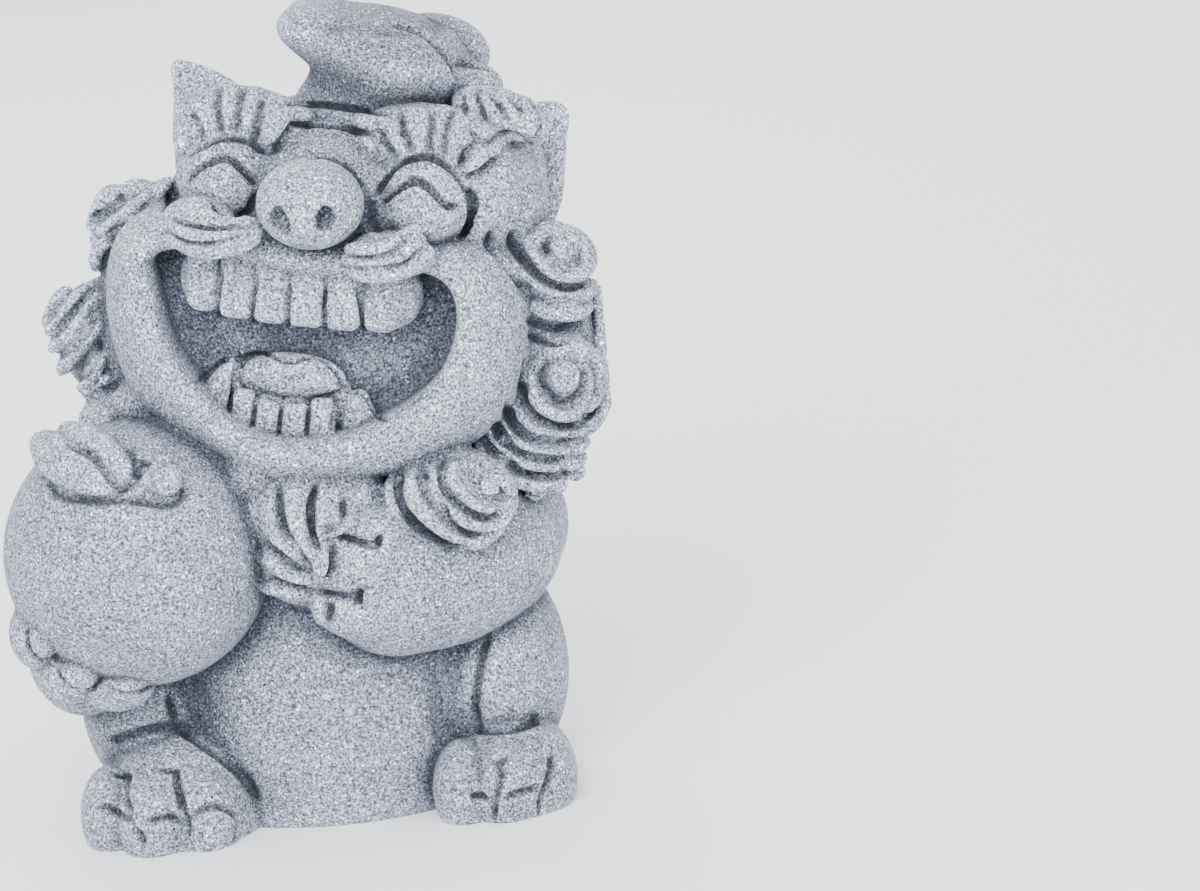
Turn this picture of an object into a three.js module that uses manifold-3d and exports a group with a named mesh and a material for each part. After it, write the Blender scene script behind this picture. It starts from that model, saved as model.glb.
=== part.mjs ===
// A small ornament: a laughing guardian lion that sits up, holds a big round
// fruit in one paw and rests the other paw on its chest. The real thing is one
// casting of stone powder and resin, so the whole figure is one solid.
//
// Millimetres, +Z up. The lion looks towards -Y and holds the fruit on its -X
// side. The origin is under the middle of its bounding box, on the table.

import * as THREE from 'three';
import { mergeVertices } from 'three/addons/utils/BufferGeometryUtils.js';
import Module from 'manifold-3d';

const wasm = await Module();
wasm.setup();

// Driving dimensions. Places are given in the body's own frame, whose Z axis
// runs up the middle of the trunk, or in the head's frame, described below.

const stoneColour = 0xb4bac4;

// The trunk is a squat barrel, slightly flatter front to back than it is wide.
const trunk = {
  setBack: 1,
  flattening: 0.98,
  sides: 16,
  // radius and height of each turn of its outline
  outline: [[0, 0], [19.4, 0], [21.4, 8], [20.8, 18], [17, 32], [0, 42]],
};

const haunch = { place: [18.3, -3, 13.4], radii: [8.4, 13, 12.2], shift: -0.6 };
// The foot on the fruit's side stands a little higher.
const feet = {
  '-1': { place: [16.6, -12.5, 3.2], radii: [9, 11, 9] },
  1: { place: [17.6, -12.5, 3.2], radii: [8.3, 11, 7.2] },
};
// Each toe: distance out from the middle plane, forward, and its half width.
const toes = [
  { out: 12.8, forward: 19.2, halfWidth: 3.8 },
  { out: 18.4, forward: 19.6, halfWidth: 3.9 },
  { out: 23, forward: 16, halfWidth: 3.4 },
];
const toeHeight = 3.6;
// The figure was ground flat underneath, this far above its modelled bottom.
const groundOff = 0.9;

const fruit = { place: [-18.3, -16, 32.3], radius: 14.3 };

// The head is modelled upright and facing front, in a frame of its own, then
// tipped to the lion's fruit-free side and turned a little the other way.
const head = { place: [5, -4, 57], tipDegrees: 9, turnDegrees: 8 };

const skull = { place: [0, 3, 3], radii: [20.5, 19, 17.2] };
// The back of the mane is plainer than the front: rows of soft lobes, whose
// number around and down the whole head is given here.
const mane = { place: [0, 6, -4], radii: [24.6, 15.4, 18.6], around: 8, down: 4, relief: 0.16 };

// The lips are a fat ring around the open mouth. Both outlines are rounded
// boxes above their widest line and plain half ellipses below it.
const mouth = { middle: [-1.3, 1.5], halfWidth: 16.3, rise: 3.2, drop: 14.3, squareness: 4 };
const lips = { middle: [-0.5, -5], halfWidth: 23, rise: 14.2, drop: 14.2, squareness: 4 };
// The muzzle's section from the back of the mouth, over the lips, to the back
// of the head: how far out, where 1 is the mouth's outline and 2 is the
// muzzle's, and the depth at the middle plane.
const muzzleSection = [[0, -14.8], [0.85, -14.2], [1.02, -15.4], [1.04, -19], [1.26, -21.2], [1.6, -21.2],
  [1.9, -18.2], [2, -12], [0, 2]];
const muzzleSides = 26;
const lipSetBack = 5.6;

const nose = { place: [-0.3, -19.6, 13.2], radii: [5.6, 6.2, 4.6] };
const nostril = { places: [[-3.2, -25.2, 12], [1.8, -25.2, 12.7]], radius: 0.85 };

// A point is written [x, y, z]. The lion's two sides are told apart by a sign:
// -1 is the fruit's side and 1 is the other.
const bothSides = [-1, 1];
const onSide = (side, [x, y, z]) => [side * x, y, z];

const vector = (point) => new THREE.Vector3(...point);

// Basic forms. Each returns a closed three.js geometry.

// An ellipsoid with about 20 (detail + 1)^2 faces.
function ball(place, radii, detail = 2, turn = [0, 0, 0]) {
  const geometry = new THREE.IcosahedronGeometry(1, detail);
  geometry.scale(...radii);
  geometry.applyMatrix4(new THREE.Matrix4().makeRotationFromEuler(new THREE.Euler(...turn)));
  geometry.translate(...place);
  return geometry;
}

// A pillow: a box whose edges and corners are rounded over.
function pillow(place, halfSizes, turn = [0, 0, 0], detail = 2, squareness = 4) {
  const geometry = new THREE.BoxGeometry(2, 2, 2, detail, detail, detail);
  const vertices = geometry.attributes.position;
  const corner = new THREE.Vector3();
  for (let i = 0; i < vertices.count; i++) {
    corner.fromBufferAttribute(vertices, i);
    const reach = corner.toArray().reduce((sum, c) => sum + Math.abs(c) ** squareness, 0) ** (1 / squareness);
    corner.divideScalar(reach);
    vertices.setXYZ(i, corner.x, corner.y, corner.z);
  }
  geometry.scale(...halfSizes);
  geometry.applyMatrix4(new THREE.Matrix4().makeRotationFromEuler(new THREE.Euler(...turn)));
  geometry.translate(...place);
  return geometry;
}

// A lock of hair: a round bar that follows the points, full over most of its
// length and drawn in to `tip` of its width at the far end. `facing` is the
// direction that its flatter side looks to.
function lock(points, halfWidth, { thickness = 1, tip = 0.5, sides = 6, steps = 8, facing = [0, -1, 0] } = {}) {
  const path = new THREE.CatmullRomCurve3(points.map(vector), false, 'centripetal');
  const geometry = new THREE.SphereGeometry(1, sides, steps);
  const vertices = geometry.attributes.position;
  const ring = new THREE.Vector3();
  for (let i = 0; i < vertices.count; i++) {
    ring.fromBufferAttribute(vertices, i);
    const along = (1 - ring.y) / 2;
    const endRounding = Math.sqrt(1 - Math.abs(2 * along - 1) ** 5);
    const reach = halfWidth * endRounding * THREE.MathUtils.lerp(1, tip, along ** 2);
    const tangent = path.getTangent(along);
    const across = vector(facing).cross(tangent).normalize();
    const outward = tangent.clone().cross(across);
    const spoke = Math.hypot(ring.x, ring.z) || 1;
    const place = path.getPoint(along)
      .addScaledVector(across, (reach * ring.x) / spoke)
      .addScaledVector(outward, (reach * thickness * ring.z) / spoke);
    vertices.setXYZ(i, place.x, place.y, place.z);
  }
  return geometry;
}

// A curl: a round snail of hair with a knob in its middle and a ring around it,
// and the lock that runs into it from `root`. Its section is given as parts of
// the curl's radius, distance out from the middle and then height.
const curlSection = [[0, 0.62], [0.34, 0.46], [0.46, 0.2], [0.74, 0.5], [1, 0.14], [0.98, -0.5], [0, -0.9]];
const curlSides = 10;

function curl(side, root, eye, radius, out) {
  const facing = vector(onSide(side, out)).normalize();
  const centre = vector(onSide(side, eye));
  const section = curlSection.map(([away, height]) => new THREE.Vector2(away * radius, height * radius));
  const snail = new THREE.LatheGeometry([...section].reverse(), curlSides);
  const upright = new THREE.Vector3(0, 1, 0);
  snail.applyQuaternion(new THREE.Quaternion().setFromUnitVectors(upright, facing));
  snail.translate(centre.x, centre.y, centre.z);
  const start = vector(onSide(side, root));
  const underside = centre.clone().add(new THREE.Vector3(0, 0, -0.72 * radius));
  const inner = centre.clone().add(new THREE.Vector3(-0.8 * side * radius, 0, -0.1 * radius));
  const points = [start, inner, underside].map((point) => point.toArray());
  return [snail, lock(points, 0.44 * radius, { tip: 0.9, sides: 4, steps: 5, facing: facing.toArray() })];
}

// Body

function trunkForms() {
  const outline = trunk.outline.map(([radius, height]) => new THREE.Vector2(radius, height));
  const barrel = new THREE.LatheGeometry(outline, trunk.sides);
  barrel.rotateX(Math.PI / 2);
  barrel.scale(1, trunk.flattening, 1);
  barrel.translate(0, trunk.setBack, 0);
  const chest = ball([0, -13.5, 33], [10, 9.3, 8], 1);
  const shoulders = ball([1, 1, 33], [22, 15, 10], 1);
  return [barrel, chest, shoulders];
}

function legForms() {
  const forms = [];
  for (const side of bothSides) {
    const [out, forward, height] = haunch.place;
    forms.push(ball([side * out + haunch.shift, forward, height], haunch.radii, 2));
    forms.push(ball(onSide(side, feet[side].place), feet[side].radii, 2));
    for (const toe of toes) {
      const place = [side * toe.out, -toe.forward, toeHeight];
      forms.push(ball(place, [toe.halfWidth, 5.4, 5.6], 1));
    }
  }
  return forms;
}

// The free arm is a plump roll that ends in a paw on the chest, with three
// claws at its end.
function freeArmForms() {
  const forearm = lock(
    [[19, -1, 28.6], [16.4, -8, 28], [10.4, -14, 27.4], [3.6, -17, 27.2], [-0.6, -17.6, 27]],
    9.5,
    { thickness: 0.98, tip: 0.95, sides: 10, steps: 8 },
  );
  const knuckle = ball([6.4, -22, 32.2], [3.2, 3.6, 3.6], 1);
  const claws = [
    ball([2.9, -22.8, 34], [1.6, 1.6, 2.2], 1),
    ball([0.8, -23.4, 30.6], [1.3, 1.6, 2.6], 1),
    ball([0.6, -23, 25.4], [1, 2.4, 2.4], 1),
  ];
  return [forearm, knuckle, ...claws];
}

// The other arm reaches under the fruit, and three fingertips show below it.
function fruitArmForms() {
  const upperArm = ball([-20.5, -2, 28], [8, 10, 10], 1);
  const forearm = lock([[-25, -1, 24], [-26, -9, 20], [-25, -17, 20]], 6, { steps: 5, sides: 8, tip: 0.9 });
  const fingers = [
    ball([-29.6, -18, 24.8], [3.2, 5, 3.7], 1),
    ball([-26.9, -18.6, 20.8], [3.4, 5, 3.6], 1),
    ball([-21.8, -19, 19.2], [3.8, 5, 2.8], 1),
  ];
  return [upperArm, forearm, ...fingers];
}

function fruitForms() {
  const flesh = ball(fruit.place, [fruit.radius, fruit.radius, fruit.radius], 4);
  const frontLeaf = lock(
    [[-27.4, -20.8, 46.2], [-24.4, -22.4, 45], [-21.4, -24.6, 43], [-18.8, -26, 41]],
    3.3,
    { thickness: 0.62, tip: 0.6, sides: 6, steps: 6, facing: [-0.1, -0.8, 0.6] },
  );
  const backLeaf = lock(
    [[-22.6, -17, 47], [-20, -19, 46.6], [-18.4, -22, 44.8], [-17.6, -25, 42.4]],
    2.8,
    { thickness: 0.7, tip: 0.6, sides: 6, steps: 6, facing: [0.1, -0.7, 0.7] },
  );
  const stem = lock([[-20, -25.6, 41], [-16.4, -26.6, 41.7], [-13, -27, 41.8]], 1.9, { tip: 1, steps: 5 });
  return [flesh, frontLeaf, backLeaf, stem];
}

// Tufts of the chest hair hang between the fruit and the paw and meet in a
// point over the paw's edge.
function beardForms() {
  const strands = [
    { points: [[-3.5, -20.5, 39], [-3.5, -22, 36], [-2.4, -22.8, 33.4], [-0.4, -23, 31]], halfWidth: 0.9 },
    { points: [[-0.9, -20.5, 39], [-0.7, -22, 36], [0, -22.8, 33.6], [0.8, -23, 31.8]], halfWidth: 1.4 },
    { points: [[2.6, -20.5, 39], [2.1, -22, 36.2], [2, -22.8, 33.4]], halfWidth: 1 },
    { points: [[-5.4, -21, 34.5], [-3.4, -22.2, 31.2], [-0.4, -22.6, 29.4]], halfWidth: 1.2 },
  ];
  return strands.map(({ points, halfWidth }) => lock(points, halfWidth, { tip: 0.6, sides: 5, steps: 5 }));
}

// A plain short tail lies up the middle of the back.
function tailForms() {
  return [-1, 0, 1].map((spread) => lock(
    [[0, 19.5, 4], [2.5 * spread, 21, 11], [5 * spread, 19.6, 17]],
    2.6,
    { tip: 0.4, sides: 5, steps: 5, facing: [0, 1, 0] },
  ));
}

// Head, in its own frame

// The point of a rounded outline at an angle, as [x, z].
function outlinePoint({ middle, halfWidth, rise, drop, squareness }, angle) {
  const cosine = Math.cos(angle);
  const sine = Math.sin(angle);
  const power = sine > 0 ? squareness : 2;
  const height = sine > 0 ? rise : drop;
  const stretch = (Math.abs(cosine) ** power + Math.abs(sine) ** power) ** (-1 / power);
  return [middle[0] + halfWidth * cosine * stretch, middle[1] + height * sine * stretch];
}

// The muzzle is one bowl with fat lips around the open mouth. Its front curves
// back towards the cheeks.
function muzzleForm() {
  const section = muzzleSection.map(([across, depth]) => new THREE.Vector2(across, depth));
  const geometry = new THREE.LatheGeometry(section, muzzleSides);
  const vertices = geometry.attributes.position;
  for (let i = 0; i < vertices.count; i++) {
    const [x, depth, z] = [vertices.getX(i), vertices.getY(i), vertices.getZ(i)];
    const around = Math.atan2(z, x);
    const across = Math.hypot(x, z);
    const inner = outlinePoint(mouth, around);
    const outer = outlinePoint(lips, around);
    const muzzleX = across < 1
      ? THREE.MathUtils.lerp(mouth.middle[0], inner[0], across)
      : THREE.MathUtils.lerp(inner[0], outer[0], across - 1);
    const muzzleZ = across < 1
      ? THREE.MathUtils.lerp(mouth.middle[1], inner[1], across)
      : THREE.MathUtils.lerp(inner[1], outer[1], across - 1);
    const setBack = lipSetBack * (muzzleX / lips.halfWidth) ** 2;
    vertices.setXYZ(i, muzzleX, depth + setBack, muzzleZ);
  }
  return geometry;
}

// A row of teeth is one band, notched where two teeth meet. `edges` are the
// places of the notches from left to right, `tops` and `bottoms` the height of
// each tooth's two ends.
const notch = { depth: 1, halfWidth: 0.5, rise: 0.9 };

function toothRow({ edges, tops, bottoms, front, depth }) {
  const teeth = tops.length;
  const columns = [];
  for (let i = 0; i < teeth; i++) {
    columns.push({ x: edges[i], tooth: i, notched: true });
    columns.push({ x: edges[i] + notch.halfWidth, tooth: i, notched: false });
    columns.push({ x: edges[i + 1] - notch.halfWidth, tooth: i, notched: false });
  }
  columns.push({ x: edges[teeth], tooth: teeth - 1, notched: true });
  const last = columns.length - 1;
  const geometry = new THREE.BoxGeometry(last, 2, 2, last, 1, 1);
  const vertices = geometry.attributes.position;
  for (let i = 0; i < vertices.count; i++) {
    const { x, tooth, notched } = columns[Math.round(vertices.getX(i) + last / 2)];
    const isFront = vertices.getY(i) < 0;
    const isTop = vertices.getZ(i) > 0;
    const setBack = lipSetBack * (x / lips.halfWidth) ** 2;
    const y = isFront ? front + (notched ? notch.depth : 0) : front + depth;
    const shrink = notched && isFront ? notch.rise : 0;
    const z = isTop ? tops[tooth] - shrink : bottoms[tooth] + shrink;
    vertices.setXYZ(i, x, y + setBack, z);
  }
  return geometry;
}

// The upper row hangs from the lip, four front teeth between two longer ones.
// The lower front teeth stand before the tongue, between two pointed ones.
function teethForms() {
  const upper = toothRow({
    edges: [-13.8, -9.4, -6, -2.3, 1.6, 5.2, 10],
    tops: [5, 4.8, 4.6, 4.6, 4.8, 5],
    bottoms: [-1.1, -0.7, -0.6, -0.5, -0.4, -1.2],
    front: -18.5,
    depth: 6,
  });
  const lower = toothRow({
    edges: [-7.2, -4.8, -2.1, 0.7, 3.5],
    tops: [-8.3, -8.9, -9, -8.6],
    bottoms: [-11.6, -12.2, -12.6, -12.4],
    front: -17.4,
    depth: 4,
  });
  const points = [
    lock([[-8.6, -14.4, -10.6], [-9, -14.2, -7.6], [-8.2, -14.2, -5.4]], 1.9, { tip: 0.4, steps: 4 }),
    lock([[5.9, -15, -11], [6, -14.6, -8.6], [5.7, -14.6, -6.9]], 2, { tip: 0.5, steps: 4 }),
  ];
  return [upper, lower, ...points];
}

function faceForms() {
  const forms = [
    ball(skull.place, skull.radii, 2),
    muzzleForm(),
    ball([-1.7, -14.8, -7], [5.7, 2.6, 2.5], 1, [0, 0.06, 0]),
    ball(nose.place, nose.radii, 2),
    ball([-0.5, -6.4, 10], [16, 11.6, 9.8], 1),
  ];
  for (const side of bothSides) {
    forms.push(ball([side * 10.5, -11.6, 13], [5.5, 5.5, 4.8], 1));
    forms.push(ball([side * 10.4, -13.8, 11.8], [4.2, 4.4, 3.2], 1));
  }
  return forms;
}

// Each half of the moustache is three strands that start beside the nose and
// sweep up and out into a rounded end.
function moustacheForms() {
  const strands = [
    [[3.4, -20.6, 9.3], [7.4, -21.4, 8.5], [11, -20.8, 9.7], [12.6, -20, 11.2]],
    [[3.2, -20.8, 7.8], [7.6, -21.6, 6.9], [12.2, -20.6, 8.2], [14.2, -19.2, 10.2]],
    [[3.6, -20.6, 6.4], [8.4, -21.2, 5.5], [13, -20, 6.6], [15, -18.6, 8.2]],
  ];
  // The fruit's side stands out further, as the face turns that way.
  const further = { '-1': -0.9, 1: 0 };
  return bothSides.flatMap((side) => strands.map((points) => lock(
    points.map(([x, y, z]) => [side * x, y + further[side], z]),
    1.4,
    { tip: 1.15, sides: 5, steps: 5 },
  )));
}

// The brows are fans of short plump tufts over the eyes.
function browForms() {
  const eye = [10.4, 12.6];
  const tufts = 5;
  const forms = [];
  for (const side of bothSides) {
    for (let i = 0; i < tufts; i++) {
      const lean = THREE.MathUtils.degToRad(THREE.MathUtils.lerp(118, 42, i / (tufts - 1)));
      const near = 5.2;
      const far = 9.9;
      const at = (reach, y) => [side * (eye[0] + reach * Math.cos(lean)), y, eye[1] + reach * Math.sin(lean)];
      const points = [at(near, -12.4), at((near + far) / 2, -12), at(far, -8.6)];
      forms.push(lock(points, 1.9, { tip: 0.95, sides: 5, steps: 3 }));
    }
  }
  return forms;
}

// A tuft swept back over the ear, on the fruit-free side only.
function earTuftForms() {
  return [0, 1, 2].map((i) => lock(
    [[14 + 2 * i, -8, 17.6 + 0.2 * i], [14.6 + 2.4 * i, -7.6, 20.6], [15.4 + 2.6 * i, -5.8, 23 - 0.5 * i]],
    1.7,
    { tip: 0.7, sides: 5, steps: 3 },
  ));
}

function earForms() {
  const points = [[13.8, 6, 5], [15.4, 6, 11], [17.8, 7, 17], [19.9, 8, 21.4]];
  return bothSides.map((side) => lock(
    points.map(([out, y, z]) => [side * out + 0.7, y, z]),
    6.2,
    { thickness: 0.5, tip: 0.32, sides: 8, steps: 7 },
  ));
}

// The topknot: a banded neck of hair under a thick round slab, with two
// smaller lobes of hair behind it.
function topknotForms() {
  const neck = new THREE.LatheGeometry(
    [[0, 10], [9.4, 15], [9.2, 18.3], [8.5, 18.8], [8.9, 20.2], [8.3, 20.8], [7.4, 24.2], [9, 28.4], [0, 29]]
      .map(([radius, height]) => new THREE.Vector2(radius, height)),
    10,
  );
  neck.rotateX(Math.PI / 2);
  neck.scale(1, 0.9, 1);
  const flareStart = 24;
  const vertices = neck.attributes.position;
  for (let i = 0; i < vertices.count; i++) {
    const overhang = 0.5 * Math.max(vertices.getZ(i) - flareStart, 0);
    vertices.setX(i, vertices.getX(i) - overhang);
  }
  neck.translate(3.8, -1, 0);
  return [
    neck,
    pillow([2.6, -2, 27], [9.4, 8.6, 3.2], [0.1, 0.15, 0], 3, 2.6),
    ball([9.2, 3, 25.4], [5.6, 6.4, 4], 1),
    ball([12.4, 1, 21.6], [3.6, 4.6, 2.4], 1),
  ];
}

// Mane: on each side of the face two curls and one under the chin, bands of
// hair between them, and locks that hang in layers below the middle curl.
const maneCurls = {
  '-1': [
    { root: [16.4, -8, 9], eye: [22.2, -6, 5.6], radius: 4.2 },
    { root: [20.5, -10, 0], eye: [26.2, -6.4, -5.8], radius: 5 },
  ],
  1: [
    { root: [17.8, -8, 9.5], eye: [24, -6.4, 6], radius: 4.6 },
    { root: [20.5, -10, -1], eye: [26, -7.6, -5.8], radius: 4.8 },
    { root: [13.4, -19, -11.6], eye: [18.8, -17.2, -16.2], radius: 3.7 },
  ],
};
// The mane stands out less on the fruit's side.
const maneReach = { '-1': 0.94, 1: 1 };
const maneBands = [
  { root: [19, -9, 4], through: [23.4, -8.6, 0.6], end: [28.6, -4, 0.8] },
  { root: [10.6, -18, -13.6], through: [14, -18.8, -19], end: [21.6, -15, -20.6] },
];
const maneLayers = {
  count: 3,
  root: [[20.4, -10.4, -6.5], [17.6, -10, -13]],
  through: [[24, -10, -12], [19.8, -9, -18.6]],
  end: [[30.2, -5.6, -11.2], [24.2, -5.2, -20.8]],
};

function sideManeForms() {
  const between = (limits, share) => vector(limits[0]).lerp(vector(limits[1]), share).toArray();
  const hanging = Array.from({ length: maneLayers.count }, (_, i) => {
    const share = i / (maneLayers.count - 1);
    const [root, through, end] = [maneLayers.root, maneLayers.through, maneLayers.end];
    return { root: between(root, share), through: between(through, share), end: between(end, share) };
  });
  const out = [0.5, -0.86, 0];
  const forms = [];
  for (const side of bothSides) {
    forms.push(ball(onSide(side, [22, -0.5, -5.6]), [6.6, 9, 13.6], 1));
    for (const { root, eye, radius } of maneCurls[side]) {
      forms.push(...curl(side, root, eye, radius, out));
    }
    for (const { root, through, end } of [...maneBands, ...hanging]) {
      const points = [root, through, end].map(([x, y, z]) => [side * maneReach[side] * x, y, z]);
      forms.push(lock(points, 2.2, { tip: 1, sides: 5, steps: 4, facing: onSide(side, out) }));
    }
  }
  return forms;
}

function maneForm() {
  const geometry = new THREE.SphereGeometry(1, 2 * mane.around + 2, 3 * mane.down - 2);
  const vertices = geometry.attributes.position;
  for (let i = 0; i < vertices.count; i++) {
    const [x, z, y] = [vertices.getX(i), vertices.getY(i), -vertices.getZ(i)];
    const bearing = Math.atan2(y, x);
    const fall = Math.acos(THREE.MathUtils.clamp(z, -1, 1));
    const lobe = Math.abs(Math.sin((mane.around * bearing) / 2) * Math.sin(mane.down * fall));
    const reach = 1 + mane.relief * (lobe - 0.5);
    vertices.setXYZ(i, x * reach, y * reach, z * reach);
  }
  geometry.scale(...mane.radii);
  geometry.translate(...mane.place);
  return geometry;
}

// Everything joined

function headForms() {
  const forms = [
    ...faceForms(),
    ...teethForms(),
    ...moustacheForms(),
    ...browForms(),
    ...earForms(),
    ...earTuftForms(),
    ...topknotForms(),
    maneForm(),
    ...sideManeForms(),
  ];
  return forms;
}

function headPlacement() {
  const tip = new THREE.Matrix4().makeRotationY(THREE.MathUtils.degToRad(head.tipDegrees));
  const turn = new THREE.Matrix4().makeRotationZ(THREE.MathUtils.degToRad(-head.turnDegrees));
  const place = new THREE.Matrix4().makeTranslation(...head.place);
  return place.multiply(turn).multiply(tip);
}

// A closed geometry becomes a solid once its shared corners are one corner.
function solidOf(geometry) {
  geometry.deleteAttribute('normal');
  geometry.deleteAttribute('uv');
  const merged = mergeVertices(geometry, 1e-3);
  const corners = merged.index.array;
  const faces = [];
  for (let i = 0; i < corners.length; i += 3) {
    const [a, b, c] = [corners[i], corners[i + 1], corners[i + 2]];
    if (a !== b && b !== c && c !== a) {
      faces.push(a, b, c);
    }
  }
  return new wasm.Manifold(new wasm.Mesh({
    numProp: 3,
    vertProperties: new Float32Array(merged.attributes.position.array),
    triVerts: new Uint32Array(faces),
  }));
}

function geometryOf(solid) {
  const mesh = solid.getMesh();
  const geometry = new THREE.BufferGeometry();
  geometry.setAttribute('position', new THREE.BufferAttribute(mesh.vertProperties, 3));
  geometry.setIndex(new THREE.BufferAttribute(mesh.triVerts, 1));
  geometry.computeVertexNormals();
  return geometry;
}

function joined(forms) {
  return forms.map(solidOf).reduce((whole, form) => whole.add(form));
}

function lionSolid() {
  const placement = headPlacement();
  const headSolid = joined(headForms().map((form) => form.applyMatrix4(placement)));
  const nostrils = joined(nostril.places.map((place) => {
    const { radius } = nostril;
    return ball(place, [radius, 2 * radius, radius], 0).applyMatrix4(placement);
  }));
  const body = joined([
    ...trunkForms(),
    ...legForms(),
    ...freeArmForms(),
    ...fruitArmForms(),
    ...fruitForms(),
    ...beardForms(),
    ...tailForms(),
  ]);
  const table = new THREE.BoxGeometry(200, 200, 40);
  table.translate(0, 0, groundOff - 20);
  return body.add(headSolid).subtract(nostrils).subtract(solidOf(table));
}

// The origin goes under the middle of the bounding box.
const geometry = geometryOf(lionSolid());
geometry.computeBoundingBox();
const middle = geometry.boundingBox.getCenter(new THREE.Vector3());
geometry.translate(-middle.x, -middle.y, -geometry.boundingBox.min.z);

const stone = new THREE.MeshStandardMaterial({ color: stoneColour, roughness: 0.92, metalness: 0 });
const lion = new THREE.Mesh(geometry, stone);
lion.name = 'guardian_lion';

const figure = new THREE.Group();
figure.add(lion);

export default figure;
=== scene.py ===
# %% [markdown]
# # A small guardian lion of pale stone
# The figure is one piece of stone that fits in the hand: a sitting lion with a huge laughing
# mouth, holding a peach against its side. It could be sculpted by hand, but a script gives the
# same lion each time and keeps its sizes in sight. The measured part gives its place and size.
# Here the same forms are worked finer: blended where the carver rounded them, and cut with lines.

import math

import bpy
import numpy as np
from mathutils import Matrix, Vector


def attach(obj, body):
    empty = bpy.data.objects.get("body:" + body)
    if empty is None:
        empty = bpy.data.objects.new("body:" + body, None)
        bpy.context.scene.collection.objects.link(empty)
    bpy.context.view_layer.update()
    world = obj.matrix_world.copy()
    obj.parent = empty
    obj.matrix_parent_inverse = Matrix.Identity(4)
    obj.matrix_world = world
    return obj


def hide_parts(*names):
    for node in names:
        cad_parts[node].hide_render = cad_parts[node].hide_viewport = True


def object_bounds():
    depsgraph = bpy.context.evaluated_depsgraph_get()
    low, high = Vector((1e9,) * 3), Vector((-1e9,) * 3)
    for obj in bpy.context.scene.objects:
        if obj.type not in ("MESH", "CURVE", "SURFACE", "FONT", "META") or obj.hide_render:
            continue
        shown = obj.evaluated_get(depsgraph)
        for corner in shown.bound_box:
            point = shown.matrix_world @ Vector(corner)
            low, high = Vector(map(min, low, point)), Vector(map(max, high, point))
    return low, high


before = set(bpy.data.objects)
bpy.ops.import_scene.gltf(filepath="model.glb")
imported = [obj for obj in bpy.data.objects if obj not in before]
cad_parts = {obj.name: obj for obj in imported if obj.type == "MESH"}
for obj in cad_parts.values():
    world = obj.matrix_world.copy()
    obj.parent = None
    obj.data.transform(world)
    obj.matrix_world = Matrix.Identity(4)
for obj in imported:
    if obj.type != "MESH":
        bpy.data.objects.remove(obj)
CAD_BOX = [list(corner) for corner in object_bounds()]
print("the part's box in metres:", CAD_BOX)

# %% [markdown]
# ## The block of stone
# A real carver starts with a block and removes what isn't lion. Here the block is a grid of small
# cells, and each cell holds how far it is from the skin of the stone, in millimetres and less
# than nothing inside. Meshes joined with booleans would meet in hard edges. In a grid, joining
# two forms is a soft minimum of two distances, which leaves the rounded valley that a chisel and
# sanding leave, and cutting is a soft maximum.

# %% The block and its cells
MM = 0.001
CELL = 0.28
BLOCK_LOW = np.array([-33.4, -30.8, 0.2])
BLOCK_HIGH = np.array([33.8, 23.6, 88.5])
FAR = 6.0
SPARE = 1.2
CORNERS = [(i, j, k) for i in (0, 1) for j in (0, 1) for k in (0, 1)]


def soft_min(one, other, blend):
    near = np.maximum(blend - np.abs(one - other), 0) / blend
    return np.minimum(one, other) - near * near * blend * 0.25


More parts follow.
